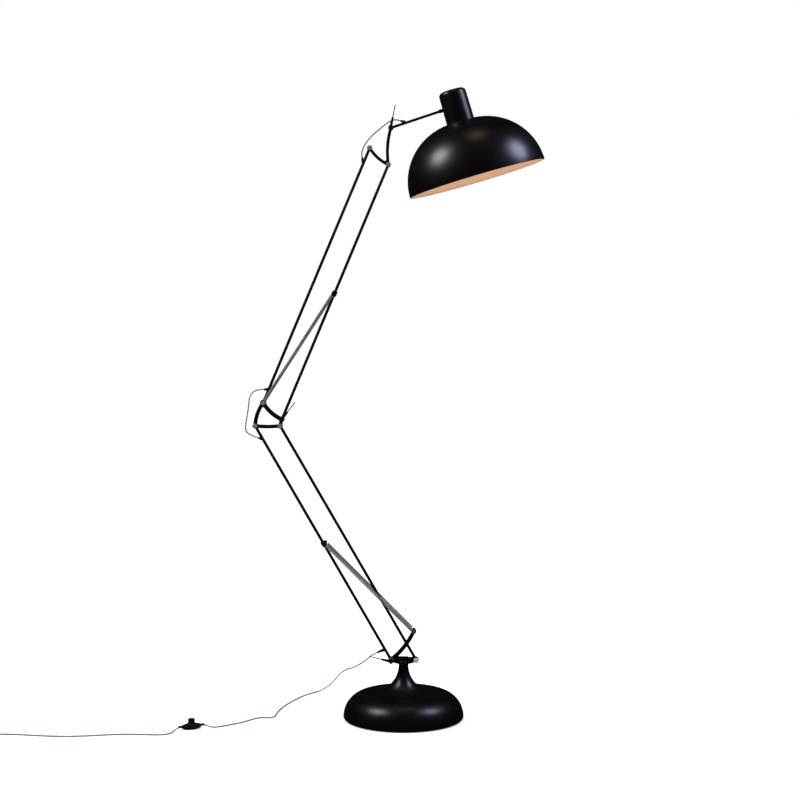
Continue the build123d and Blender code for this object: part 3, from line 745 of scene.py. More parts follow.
# ---- camera and light
@dataclass
class ViewCamera:
    """The camera at the angle the lamp is looked at from.

    Attributes:
        place: where it stands, looking level.
        drop: how far the picture is shifted down to frame the whole lamp, as a share of its side.
        lens: focal length in millimetres on a 36 mm sensor.
    """

    place: Vector = field(default_factory=lambda: Vector((-0.0105, -5.07, 1.26)))
    drop: float = 0.1275
    lens: float = 76.05

    def build(self) -> None:
        """Make it and give it to the scene."""
        data = bpy.data.cameras.new("view_camera")
        data.lens = self.lens
        data.sensor_width = 36.0
        data.shift_y = -self.drop
        data.dof.use_dof = False
        camera = bpy.data.objects.new("view_camera", data)
        bpy.context.scene.collection.objects.link(camera)
        camera.matrix_world = Matrix.Translation(self.place) @ Matrix.Rotation(math.radians(90.0), 4, "X")
        bpy.context.scene.camera = camera
        log.info("camera at %.2f m", -self.place.y)


@dataclass
class SoftBox:
    """A soft studio lamp.

    Attributes:
        name: its name.
        place: where it stands.
        size: the side of its face, in metres.
        power: its power in watts.
        tint: its colour.
    """

    name: str
    place: Vector
    size: float
    power: float
    tint: Colour

    def build(self, aim: Vector) -> None:
        """Set it up, facing a point.

        Args:
            aim: the point.
        """
        data = bpy.data.lights.new(self.name, "AREA")
        data.shape = "DISK"
        data.size = self.size
        data.energy = self.power
        data.color = self.tint
        lamp = bpy.data.objects.new(self.name, data)
        bpy.context.scene.collection.objects.link(lamp)
        turn = (aim - self.place).to_track_quat("-Z", "Y").to_matrix().to_4x4()
        lamp.matrix_world = Matrix.Translation(self.place) @ turn


@dataclass
class Studio:
    """A pale floor under soft light, one neutral box on the left and a cooler one on the right.

    Attributes:
        floor_side: the floor's side, in metres.
        aim: what the boxes face.
        boxes: the soft boxes.
    """

    floor_side: float = 60.0
    aim: Vector = field(default_factory=lambda: Vector((0.0, 0.0, 0.9)))
    boxes: tuple[SoftBox, ...] = (
        SoftBox("left_box", Vector((-2.5, -0.60, 3.45)), 1.4, 72.0, (0.93, 0.95, 1.0)),
        SoftBox("right_box", Vector((2.6, -0.40, 3.40)), 1.4, 70.0, (0.66, 0.72, 1.0)),
        SoftBox("warm_box", Vector((0.05, -0.4, 4.3)), 0.9, 4.0, (1.0, 0.72, 0.42)),
    )

    def build(self) -> None:
        """Lay the floor, set the lights and the surrounding white."""
        self._floor()
        for box in self.boxes:
            box.build(self.aim)
        self._surround()
        log.info("studio with %d soft boxes", len(self.boxes))

    def _floor(self) -> None:
        """A plain pale floor, a little lit from within, which the glossy paint doesn't mirror."""
        bm = bmesh.new()
        bmesh.ops.create_grid(bm, x_segments=1, y_segments=1, size=self.floor_side / 2)
        mesh = bpy.data.meshes.new("floor")
        bm.to_mesh(mesh)
        bm.free()
        material = bpy.data.materials.new("pale_floor")
        material.use_nodes = True
        ShaderTree(material.node_tree).feed(
            material.node_tree.nodes["Principled BSDF"],
            {
                "Base Color": (0.95, 0.95, 0.95, 1.0),
                "Roughness": 0.95,
                "Specular IOR Level": 0.0,
                "Emission Color": (1.0, 1.0, 1.0, 1.0),
                "Emission Strength": 0.12,
            },
        )
        mesh.materials.append(material)
        floor = bpy.data.objects.new("floor", mesh)
        bpy.context.scene.collection.objects.link(floor)
        floor.visible_glossy = False

    @staticmethod
    def _surround() -> None:
        """White all round to look at and to light by, and dim where gloss would mirror it."""
        world = bpy.data.worlds.new("studio_white")
        world.use_nodes = True
        tree, nodes = ShaderTree(world.node_tree), world.node_tree.nodes
        tree.feed(nodes["Background"], {"Color": (1.0, 1.0, 1.0, 1.0), "Strength": 1.0})
        dim = tree.node("Background", {"Color": (0.9, 0.93, 1.0, 1.0), "Strength": 0.01})
        glossy = tree.node("LightPath").outputs["Is Glossy Ray"]
        mix = tree.node("MixShader", {0: glossy, 1: nodes["Background"].outputs[0], 2: dim.outputs[0]})
        tree.feed(nodes["World Output"], {"Surface": mix.outputs["Shader"]})
        scene = bpy.context.scene
        scene.world = world
        scene.view_settings.view_transform = "Standard"


# ---- cords
@dataclass(frozen=True)
class TubeExit:
    """Where a cord leaves a tube: how far along the bar, which way and how far out.

    Attributes:
        place: the distance along the bar, in metres.
        angle: the direction in degrees from +X towards +Z.
        reach: how far the sleeve's mouth is from the bar's axis.
    """

    place: float
    angle: float
    reach: float

    def knee(self, start: Vector, lean: float) -> Vector:
        """Where it leaves the bar's axis."""
        return along(start, lean, self.place)

    def mouth(self, start: Vector, lean: float) -> Vector:
        """Where the bare cord starts."""
        return self.knee(start, lean) + self.reach * bearing(self.angle)


LOWER_LEAN, UPPER_LEAN, ROD_LEAN = -30.15, 22.7, 71.5
LEAD_EXIT = TubeExit(0.036, 202.1, 0.016)
ELBOW_LOW_EXIT = TubeExit(0.765, 163.0, 0.014)
ELBOW_HIGH_EXIT = TubeExit(0.043, 180.0, 0.014)
HEAD_LOW_EXIT = TubeExit(0.778, 100.4, 0.018)
ROD_EXIT = TubeExit(0.049, 161.9, 0.018)

# The free cords meet at these places, in millimetres.
FLOOR_CORD = 2.4
ELBOW_MIDDLE = (-468.0, 0.0, 914.0)
HEAD_MIDDLE = (-84.0, 0.0, 1756.0)
AIR_SPLIT = (-139.5, 113.5, 134.0)
FLOOR_SPLIT = (-279.5, 324.5, FLOOR_CORD)


def lying(*places: tuple[float, float]) -> list[Point]:
    """Places of a cord that lies on the floor."""
    return [(x, y, FLOOR_CORD) for x, y in places]


@dataclass
class TwistedFlex:
    """A two-core flex: two sheathed cores laid loosely round each other.

    Attributes:
        diameter: over both cores, in metres.
        lay: the length of one full turn of the twist.
        step: how far apart the points are that the cores follow.
        core_radius: radius of a core, as a share of the diameter.
        core_offset: how far its middle is from the flex's, as a share of the diameter.
    """

    diameter: float = 0.0048
    lay: float = 0.018
    step: float = 0.0021
    core_radius: float = 0.29
    core_offset: float = 0.21

    def mesh(self, name: str, line: list[Vector]) -> bpy.types.Object:
        """Lay both cores along a line.

        Args:
            name: the piece's name.
            line: the flex's centreline.

        Returns:
            The finished piece.
        """
        points = evenly(line, self.step)
        length = sum((b - a).length for a, b in zip(points, points[1:]))
        turns = max(1, round(length / self.lay))
        piece = Workpiece(name, (COPPER_CORE, TINNED_CORE))
        for number in (0, 1):
            core = self._core(points, turns, math.pi * number)
            piece.add(drawn_wire(core, self.diameter * self.core_radius), finish=number)
        return piece.finish("cord", sharp=80.0)

    def _core(self, points: list[Vector], turns: int, phase: float) -> list[Vector]:
        """The centreline of one core.

        Args:
            points: the flex's own centreline.
            turns: how many times the core goes round it.
            phase: the angle that it starts at.

        Returns:
            The core's points.
        """
        heading = (points[1] - points[0]).normalized()
        side = heading.cross(Vector((0.0, 1.0, 0.0)) if abs(heading.y) < 0.8 else Vector((1.0, 0.0, 0.0)))
        made = []
        for number, point in enumerate(points):
            before, after = points[max(0, number - 1)], points[min(len(points) - 1, number + 1)]
            heading = (after - before).normalized()
            side = (side - heading * side.dot(heading)).normalized()
            turn = phase + math.tau * turns * number / (len(points) - 1)
            offset = math.cos(turn) * side + math.sin(turn) * heading.cross(side)
            made.append(point + offset * self.diameter * self.core_offset)
        return made


@dataclass
class PutAwayCoil:
    """The lead's last length, wound in two layers beside the lamp.

    Attributes:
        centre: the coil's middle on the floor, in millimetres.
        turns: turns of the lower layer, of the climb, and of the upper layer.
        lower: the lower layer's first and last radius.
        upper: the upper layer's first and last radius.
        heights: the cord's height in the lower and the upper layer.
        per_turn: points in each turn.
    """

    centre: tuple[float, float] = (-1216.0, -229.0)
    turns: tuple[float, float, float] = (2.25, 0.5, 2.25)
    lower: tuple[float, float] = (33.0, 22.4)
    upper: tuple[float, float] = (24.0, 34.6)
    heights: tuple[float, float] = (2.4, 7.2)
    per_turn: int = 16

    def route(self) -> list[Vector]:
        """Wind the coil.

        Returns:
            Its points, from where the lead comes in to where it leaves for the plug.
        """
        low_turns, climb_turns, high_turns = self.turns
        total = low_turns + climb_turns + high_turns
        made = []
        for number in range(1, round(total * self.per_turn)):
            gone = number / self.per_turn
            if gone <= low_turns:
                share = gone / low_turns
                radius, height = self._between(self.lower, share), self.heights[0]
            elif gone <= low_turns + climb_turns:
                share = (gone - low_turns) / climb_turns
                radius = self._between((self.lower[1], self.upper[0]), share)
                height = self._between(self.heights, share)
            else:
                share = (gone - low_turns - climb_turns) / high_turns
                radius, height = self._between(self.upper, share), self.heights[1]
            turn = math.radians(90.0) + math.tau * gone
            x, y = self.centre[0] + radius * math.cos(turn), self.centre[1] + radius * math.sin(turn)
            made.append(Vector((x, y, height)) * MM)
        return made

    @staticmethod
    def _between(ends: tuple[float, float], share: float) -> float:
        """A value between two ends."""
        return ends[0] + (ends[1] - ends[0]) * share


@dataclass
class Cords:
    """Every free length of flex, from the head's loop to the plug.

    Attributes:
        flex: the flex they are all made of.
        coil: the put-away length.
    """

    flex: TwistedFlex = field(default_factory=TwistedFlex)
    coil: PutAwayCoil = field(default_factory=PutAwayCoil)

    def loop(self, name: str, node: str, bodies: tuple[str, str], length: float, route: list[Vector]) -> None:
        """A length of flex laid along its route.

        Args:
            name: the piece's name.
            node: the solid it stands for.
            bodies: the body at its start and the body at its end; not used.
            length: its real length, in metres; not used.
            route: its route, from where it leaves the lamp.
        """
        line = curve_points(route)
        piece = self.flex.mesh(name, line)
        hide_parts(node)
        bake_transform(piece)

    def build(self) -> None:
        """Make the loops at the head and the elbow, and the lead down to the floor."""
        yoke, elbow, head = joint_place("lower_arm"), joint_place("upper_arm"), joint_place("head_tilt")
        rows = (
            (
                "elbow_loop_low", "elbow_cord_lower", ("lower_rear_bar", "elbow"), 0.093,
                ELBOW_LOW_EXIT.mouth(yoke, LOWER_LEAN),
                ((-461.5, 0, 848.7), (-475.0, 0, 863.0), (-473.0, 0, 884.0), ELBOW_MIDDLE),
            ),
            (
                "elbow_loop_high", "elbow_cord_upper", ("upper_rear_bar", "elbow"), 0.099,
                ELBOW_HIGH_EXIT.mouth(elbow, UPPER_LEAN),
                ((-446.0, 0, 985.7), (-463.0, 0, 962.5), (-464.0, 0, 938.0), ELBOW_MIDDLE),
            ),
            (
                "head_loop_low", "head_cord_lower", ("upper_rear_bar", "head_bracket"), 0.088,
                HEAD_LOW_EXIT.mouth(elbow, UPPER_LEAN),
                ((-126.7, 0, 1696.3), (-117.0, 0, 1718.5), (-101.4, 0, 1741.0), HEAD_MIDDLE),
            ),
            (
                "head_loop_high", "head_cord_upper", ("head", "head_bracket"), 0.087,
                ROD_EXIT.mouth(head, ROD_LEAN),
                ((-26.0, 0, 1797.3), (-46.5, 0, 1787.0), (-66.0, 0, 1771.5), HEAD_MIDDLE),
            ),
            (
                "lead_off_the_arm", "lead_from_arm", ("lower_rear_bar", "yoke"), 0.155,
                LEAD_EXIT.mouth(yoke, LOWER_LEAN),
                ((-94.5, 0, 190.3), (-108.0, 34, 170.5), (-127.0, 82, 147.5), AIR_SPLIT),
            ),
            (
                "lead_down_to_the_floor", "lead_to_floor", ("yoke", "base"), 0.325,
                Vector(AIR_SPLIT) * MM,
                (
                    (-152.0, 145, 120.5), (-178.0, 212, 99.5), (-197.0, 270, 77.0), (-215.0, 318, 47.0),
                    (-236.0, 343, 20.0), (-264.0, 341, FLOOR_CORD), FLOOR_SPLIT,
                ),
            ),
        )
        for name, node, bodies, length, mouth, places in rows:
            self.loop(name, node, bodies, length, [mouth, *metres(*places)])

    def build_floor(self, switch_pieces: list[bpy.types.Object], plug_pieces: list[bpy.types.Object]) -> None:
        """Make the lead along the floor.

        Args:
            switch_pieces: the pieces of the foot switch; not used.
            plug_pieces: the pieces of the plug; not used.
        """
        (switch_in, before), (switch_out, after) = FootSwitch.cord_ends
        to_switch = metres(
            FLOOR_SPLIT,
            *lying(
                (-295, 308), (-325, 256), (-349, 194), (-367, 140), (-379, 88), (-383.5, 46), (-385.5, 20),
                (-389, 3), (-402, -8), (-420, -3), (-438, -8.5), (-456, -31), (-480, -63), (-508, -86),
                (-534, -107.5), (-557, -119.5),
            ),
            before,
            switch_in,
        )
        past_switch = metres(
            switch_out,
            after,
            *lying(
                (-670, -183), (-690, -203), (-722, -203.5), (-775, -196), (-835, -199), (-900, -214),
                (-966, -222), (-1032, -216), (-1094, -203), (-1150, -195), (-1200, -196.5),
            ),
        )
        leaving = metres((-1225.0, -195.0, 7.0), (-1240.0, -195.0, 7.0))
        rows = [
            ("lead_to_the_switch", ["lead_to_switch"], to_switch, 0.58, "object", switch_pieces),
            (
                "lead_to_the_plug", ["lead_past_switch", "lead_coil"],
                [*past_switch, *self.coil.route(), *leaving], 1.4, "plug", plug_pieces,
            ),
        ]
        for name, nodes, route, length, far_end, on_it in rows:
            line = curve_points(route)
            piece = self.flex.mesh(name, line)
            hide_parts(*nodes)
            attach(piece, "base")


# ---- the foot switch and the plug
@dataclass
class FootSwitch:
    """The in-line foot switch: a lens-shaped body with a collar and a round button.

    Attributes:
        turn: degrees from +X that its length lies at.
        half_length: half of its length, in millimetres.
        half_width: half of its width.
        waist: height of the seam between its two halves.
        top: height of the body.
        belly: how far the lower half would reach below the seam if the floor didn't cut it flat.
        tapers: the powers by which the width and the height shrink towards the ends.
        seam: half of the seam's height, and its depth.
        button_radius: radius of the push button.
        cord_ends: where the lead goes in on each side, with a place just outside on it.
    """

    turn: float = 25.7
    half_length: float = 37.5
    half_width: float = 17.0
    waist: float = 9.0
    top: float = 17.0
    belly: float = 12.0
    tapers: tuple[float, float] = (1.9, 2.3)
    seam: tuple[float, float] = (0.25, 0.5)
    button_radius: float = 10.2
    cord_ends: tuple[tuple[Point, Point], ...] = (
        ((-587.5, -111.5, 9.0), (-573.0, -115.5, 5.5)),
        ((-653.5, -142.5, 9.0), (-662.5, -158.0, 6.0)),
    )

    def place(self) -> Matrix:
        """Where the switch lies.

        Returns:
            The matrix from its own coordinates to the frame's.
        """
        low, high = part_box("switch_button")
        middle = Vector(((low.x + high.x) / 2, (low.y + high.y) / 2, 0.0))
        return Matrix.Translation(middle) @ Matrix.Rotation(math.radians(self.turn), 4, "Z")

    def build(self) -> list[bpy.types.Object]:
        """Make the switch.

        Returns:
            The body and the button.
        """
        body = Workpiece("foot_switch_body", (BLACK_PLASTIC,))
        body.add(self._hull(), self.place())
        body.add(self._collar(), self.place())
        for end, outside in self.cord_ends:
            start, way = Vector(end) * MM, Vector(outside) - Vector(end)
            body.add(self._nose(), standing_on(start, way))
        cover = body.finish("black_plastic", sharp=40.0)
        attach(cover, "base")
        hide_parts("switch_cover", "switch_sole")
        button = Workpiece("foot_switch_button", (BLACK_PLASTIC,))
        button.add(self._button(), self.place())
        top = button.finish("black_plastic")
        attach(top, "switch_button")
        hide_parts("switch_button")
        return [cover, top]

    def _hull(self) -> Mesh:
        """The two half shells, with pointed ends and a seam.

        Returns:
            The hull, lengthways on X, with its flat underside at 0.
        """
        bm = bmesh.new()
        upright = Matrix.Rotation(math.radians(90.0), 4, "Y")
        bmesh.ops.create_uvsphere(bm, u_segments=40, v_segments=40, radius=1.0, matrix=upright)
        rings: dict[float, list[bmesh.types.BMVert]] = {}
        for vertex in bm.verts:
            rings.setdefault(round(vertex.co.x, 4), []).append(vertex)
        for share, ring in rings.items():
            if abs(share) < 0.999:
                full = math.sqrt(max(1.0 - share * share, 1e-9))
                width, lift = ((1.0 - abs(share) ** power) / full for power in self.tapers)
                bmesh.ops.scale(bm, vec=(1.0, width, lift), verts=ring)
        upper = [vertex for vertex in bm.verts if vertex.co.z > 0.0]
        lower = [vertex for vertex in bm.verts if vertex.co.z < 0.0]
        bmesh.ops.scale(bm, vec=(1.0, 1.0, self.top - self.waist), verts=upper)
        bmesh.ops.scale(bm, vec=(1.0, 1.0, self.belly), verts=lower)
        bmesh.ops.scale(bm, vec=(self.half_length * MM, self.half_width * MM, MM), verts=bm.verts)
        seam_half, seam_depth = self.seam
        for height in (-seam_half, seam_half):
            everything = [*bm.verts, *bm.edges, *bm.faces]
            bmesh.ops.bisect_plane(bm, geom=everything, plane_co=(0, 0, height * MM), plane_no=(0, 0, 1))
        seam = [face for face in bm.faces if abs(face.calc_center_median().z) < (seam_half - 0.01) * MM]
        bmesh.ops.inset_region(
            bm, faces=seam, thickness=0.05 * MM, depth=-seam_depth * MM, use_even_offset=True
        )
        bmesh.ops.translate(bm, vec=(0, 0, self.waist * MM), verts=bm.verts)
        everything = [*bm.verts, *bm.edges, *bm.faces]
        cut = bmesh.ops.bisect_plane(
            bm, geom=everything, plane_co=(0, 0, 0), plane_no=(0, 0, 1), clear_inner=True
        )
        rim = [item for item in cut["geom_cut"] if isinstance(item, bmesh.types.BMEdge)]
        bmesh.ops.holes_fill(bm, edges=rim, sides=0)
        bmesh.ops.recalc_face_normals(bm, faces=bm.faces)
        return bm

    @staticmethod
    def _nose() -> Mesh:
        """The tapered nose that holds the lead on one side."""
        lathe = Lathe(32).start(2.5, -4.0).line(3.6, -4.0).line(3.5, 0.0)
        return lathe.line(2.9, 4.4).arc(2.7, 4.4, 90.0, 3).line(2.5, 4.6).line(2.5, -4.0).turn()

    def _collar(self) -> Mesh:
        """The flared collar that guides the button.

        Returns:
            The collar, about Z.
        """
        inner = self.button_radius + 0.5
        lathe = Lathe(48).start(inner, 12.0).line(inner, 17.6).arc(inner + 0.6, 17.6, -180.0, 6)
        lathe.line(inner + 1.7, 16.4).line(inner + 3.0, 15.4).line(inner + 4.6, 14.6).line(inner + 4.8, 12.0)
        return lathe.turn()

    def _button(self) -> Mesh:
        """The push button, dished on top.

        Returns:
            The button, about Z.
        """
        edge = self.button_radius
        lathe = Lathe(48).start(0.0, 8.0).line(edge - 1.4, 8.0).line(edge - 0.8, 8.6).line(edge - 0.8, 20.0)
        lathe.line(edge, 25.0).line(edge, 28.4).arc(edge - 1.6, 28.4, 90.0, 6)
        return lathe.line(7.4, 30.0).line(6.6, 29.5).line(0.0, 29.3).turn()


@dataclass
class MainsPlug:
    """The plug: a bevelled body with grip ribs and a ribbed sleeve on the lead.

    Attributes:
        round_over: the radius of the body's long edges, in millimetres.
        sleeve_length: length of the sleeve.
        sleeve_ribs: how many ribs the sleeve has.
        grip_start: where the first grip rib is, from the pins' end.
        grip_step: how far apart the grip ribs are.
        grip_ribs: how many each side has.
    """

    round_over: float = 4.0
    sleeve_length: float = 23.0
    sleeve_ribs: int = 5
    grip_start: float = 12.0
    grip_step: float = 4.0
    grip_ribs: int = 4

    def build(self) -> list[bpy.types.Object]:
        """Make the body.

        Returns:
            The body, and the pins as the frame has them.
        """
        low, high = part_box("plug_body")
        centre_y, centre_z = (low.y + high.y) / 2, (low.z + high.z) / 2
        block_end = high.x - self.sleeve_length * MM
        piece = Workpiece("mains_plug_body", (BLACK_PLASTIC,))
        piece.add(self._block(Vector((low.x, low.y, low.z)), Vector((block_end, high.y, high.z))))
        for side in Side:
            for number in range(self.grip_ribs):
                x = low.x + (self.grip_start + self.grip_step * number) * MM
                y = centre_y + side.value * (high.y - low.y) / 2
                piece.add(self._rib(Vector((x, y - side.value * 0.5 * MM, centre_z))))
        sleeve_start = Vector((block_end, centre_y, centre_z))
        piece.add(self._sleeve(), standing_on(sleeve_start, Vector((1.0, 0.0, 0.0))))
        body = piece.finish("black_plastic")
        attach(body, "base")
        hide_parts("plug_body")
        return [body, frame["nodes"]["plug_pins"]]

    def _block(self, low: Vector, high: Vector) -> Mesh:
        """The rounded block between two corners.

        Args:
            low: its lowest corner.
            high: its highest corner.

        Returns:
            The block, in place.
        """
        bm = bmesh.new()
        shape = Matrix.Translation((low + high) / 2) @ Matrix.Diagonal((*(high - low), 1.0))
        bmesh.ops.create_cube(bm, size=1.0, matrix=shape)
        long_edges = [e for e in bm.edges if abs((e.verts[0].co - e.verts[1].co).normalized().x) > 0.9]
        rounded(bm, long_edges, self.round_over, 6)
        ends = [e for e in bm.edges if min(v.co.x for v in e.verts) > high.x - 1e-6]
        rounded(bm, ends, 2.0, 4)
        return bm

    @staticmethod
    def _rib(middle: Vector) -> Mesh:
        """One grip rib on the body's side.

        Args:
            middle: where its middle is.

        Returns:
            The rib, in place.
        """
        bm = bmesh.new()
        shape = Matrix.Translation(middle) @ Matrix.Diagonal((1.6 * MM, 2.2 * MM, 8.0 * MM, 1.0))
        bmesh.ops.create_cube(bm, size=1.0, matrix=shape)
        rounded(bm, bm.edges[:], 0.5, 2)
        return bm

    def _sleeve(self) -> Mesh:
        """The bend-relief sleeve round the lead.

        Returns:
            The sleeve, along Z.
        """
        lathe = Lathe(32).start(2.9, -1.0).line(5.8, -1.0).line(5.8, 2.0)
        for number in range(self.sleeve_ribs):
            radius, height = 5.4 - 0.42 * number, 3.0 + 4.0 * number
            lathe.line(radius, height).line(radius, height + 2.2)
            lathe.line(radius - 0.9, height + 2.6).line(radius - 0.9, height + 3.4)
        end = self.sleeve_length
        return lathe.line(3.3, end).line(2.9, end).line(2.9, -1.0).turn()


# ---- the springs
def wound_wire(mean: float, wire: float, rise: float, turns: int, start: float, around: int = 14) -> Mesh:
    """A coil of round wire about Z, in millimetres until it is made.

    Args:
        mean: radius from the axis to the wire's middle.
        wire: radius of the wire.
        rise: rise of each turn.
        turns: how many turns it has.
        start: the height that it starts at.
        around: segments in each turn.

    Returns:
        The coil, in metres, with closed ends.
    """
    step = Vector((0.0, 0.0, rise * MM))
    one = bmesh.new()
    section = Matrix.Translation(Vector((mean, 0.0, start)) * MM) @ Matrix.Rotation(math.radians(90), 4, "X")
    bmesh.ops.create_circle(one, cap_ends=False, segments=6, radius=wire * MM, matrix=section)
    bmesh.ops.spin(
        one,
        geom=[*one.verts, *one.edges],
        cent=(0.0, 0.0, 0.0),
        axis=(0.0, 0.0, 1.0),
        dvec=step / around,
        angle=math.tau,
        steps=around,
        use_merge=False,
        use_duplicate=False,
    )
    turn = bpy.data.meshes.new("one_turn")
    one.to_mesh(turn)
    one.free()
    bm = bmesh.new()
    for _ in range(turns):
        bm.from_mesh(turn)
        turn.transform(Matrix.Translation(step))
    bpy.data.meshes.remove(turn)
    bmesh.ops.remove_doubles(bm, verts=bm.verts, dist=2e-6)
    bmesh.ops.holes_fill(bm, edges=[edge for edge in bm.edges if edge.is_boundary], sides=0)
    bmesh.ops.recalc_face_normals(bm, faces=bm.faces)
    return bm


@dataclass
class ReturnSpring:
    """The small spring that lifts the foot switch's button.

    Attributes:
        mean: radius from its axis to the wire's middle, in millimetres.
        wire: radius of the wire.
        turns: how many turns it has.
        gap: how far it is clear of the sole and of the button.
    """

    mean: float = 5.3
    wire: float = 0.4
    turns: int = 4
    gap: float = 0.1

    def build(self) -> None:
        """Make it between the sole and the button."""
        low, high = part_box("switch_spring")
        foot = Vector(((low.x + high.x) / 2, (low.y + high.y) / 2, low.z))
        room = (high.z - low.z) / MM - 2 * self.wire - 2 * self.gap
        piece = Workpiece("switch_return_spring", (SPRING_STEEL,))
        coil = wound_wire(self.mean, self.wire, room / self.turns, self.turns, self.wire + self.gap)
        piece.add(coil, Matrix.Translation(foot))
        made = piece.finish("zinc", sharp=80.0)
        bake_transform(made)
        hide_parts("switch_spring")


@dataclass
class SpringPair:
    """Two tension springs side by side, close-wound, with a hook at each end.

    Attributes:
        name: the lower part of the pieces' names.
        swing: the joint that swings them.
        stretch: the joint that draws their upper ends out.
        bodies: the body at the lower end and the body at the upper end; not used.
        nodes: the solids they stand for, coils first.
        coil_radius: outside radius of the coils, in millimetres.
        wire: radius of the wire.
        pitch: rise for each turn.
        hook_length: from a stud's middle to where the coils start.
        hook_loop: radius of the hook's loop, to the wire's middle.
        hook_top: from the upper stud's middle to the top of the solid hook.
        hook_wire: radius of the solid hook's wire.
    """

    name: str
    swing: str
    stretch: str
    bodies: tuple[str, str]
    nodes: tuple[str, str]
    coil_radius: float
    wire: float = 0.85
    pitch: float = 2.05
    hook_length: float = 8.5
    hook_loop: float = 4.5
    hook_top: float = 5.6
    hook_wire: float = 1.1

    def build(self) -> None:
        """Make both springs."""
        foot = joint_place(self.swing)
        way = Vector(joint_row(self.stretch)["axis"]).normalized()
        _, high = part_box(self.nodes[1])
        tip = foot + way * ((high.z - self.hook_top * MM - foot.z) / way.z)
        spring_y = high.y - self.hook_wire * MM
        length = (tip - foot).length
        run = length / MM - 2 * self.hook_length
        turns = round(run / self.pitch)
        pattern = wound_wire(self.coil_radius - self.wire, self.wire, run / turns, turns, self.hook_length)
        for side in Side:
            shift = Vector((0.0, side.value * spring_y, 0.0))
            piece = Workpiece(f"{self.name}_{side.name.lower()}", (SPRING_STEEL,))
            piece.add(pattern.copy(), standing_on(foot + shift, way))
            piece.add(drawn_wire(self._hook(), self.wire * MM, smooth=True), standing_on(foot + shift, way))
            piece.add(drawn_wire(self._hook(), self.wire * MM, smooth=True), standing_on(tip + shift, -way))
            made = piece.finish("zinc", sharp=80.0)
            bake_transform(made)
            if side is Side.NEAR:
                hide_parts(*self.nodes)
        pattern.free()

    def _hook(self) -> list[Vector]:
        """The route of the end wire: from the coils to the middle, then round the stud.

        Returns:
            Its points, in metres, with the stud's middle at the origin.
        """
        mean, loop = self.coil_radius - self.wire, self.hook_loop
        route = [(mean, 0.0, self.hook_length), (mean * 0.8, 0.0, self.hook_length - 2.0)]
        route += [(mean * 0.2, 0.0, self.hook_length - 4.0), (0.0, 0.0, self.hook_length - 6.0)]
        for degrees in range(20, 361, 34):
            turn = math.radians(degrees)
            route.append((loop * math.sin(turn), 0.0, loop * math.cos(turn)))
        return metres(*route)


# ---- the levers
@dataclass
class LockingLever:
    """A clamp lever: a hub on the pivot's screw, a tapered grip and a steel rod.

    Attributes:
        name: its piece's name, and the body and solid it stands for.
        joint: the joint that it turns on.
        angle: where it points, in degrees from +X towards +Z.
        grip: length of the black grip, in millimetres.
        reach: length over all.
        stem_depth: how far the grip's middle is behind the hub's face.
    """

    name: str
    joint: str
    angle: float
    grip: float = 30.0
    reach: float = 68.0
    stem_depth: float = 4.5

    def build(self) -> None:
        """Make the lever."""
        low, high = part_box(self.name)
        pivot = joint_place(self.joint)
        outer, inner = low.y, high.y
        piece = Workpiece(f"{self.name}_handle", (BLACK_PLASTIC, DARK_STEEL))
        hub_place = standing_on(Vector((pivot.x, inner, pivot.z)), Vector((0, -1, 0)), Vector((1, 0, 0)))
        piece.add(self._hub((inner - outer) / MM), hub_place)
        stem = Vector((pivot.x, outer + self.stem_depth * MM, pivot.z))
        place = standing_on(stem, bearing(self.angle))
        piece.add(self._grip(), place)
        piece.add(self._rod(), place, finish=1)
        made = piece.finish("black_plastic", sharp=38.0)
        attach(made, self.name)
        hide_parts(self.name)

    @staticmethod
    def _hub(height: float) -> Mesh:
        """The hub, with a rounded face and a shallow recess.

        Args:
            height: from the washer to its face, in millimetres.

        Returns:
            The hub, along Z.
        """
        gap = 0.1
        lathe = Lathe(40).start(3.4, gap).line(6.2, gap).line(6.8, gap + 0.6).line(6.8, height - 1.4)
        lathe.arc(5.4, height - 1.4, 90.0, 5).line(4.2, height)
        return lathe.line(3.6, height - 0.5).line(0.0, height - 0.5).turn()

    def _grip(self) -> Mesh:
        """The tapered grip, with two grooves near its end.

        Returns:
            The grip, along Z.
        """
        lathe = Lathe(32).start(0.0, 0.0).line(4.4, 0.0).line(4.1, self.grip * 0.3).line(3.6, self.grip * 0.7)
        for offset in (6.0, 3.6):
            lathe.line(3.45, self.grip - offset).line(3.0, self.grip - offset + 0.3)
            lathe.line(3.0, self.grip - offset + 1.0).line(3.4, self.grip - offset + 1.3)
        return lathe.line(3.2, self.grip - 1.2).arc(2.0, self.grip - 1.2, 90.0, 5).line(1.7, self.grip).turn()

    def _rod(self) -> Mesh:
        """The steel rod, with a rounded end."""
        lathe = Lathe(24).start(0.0, self.grip - 4.0).line(1.6, self.grip - 4.0).line(1.6, self.reach - 1.6)
        return lathe.arc(0.0, self.reach - 1.6, 90.0, 5).turn()


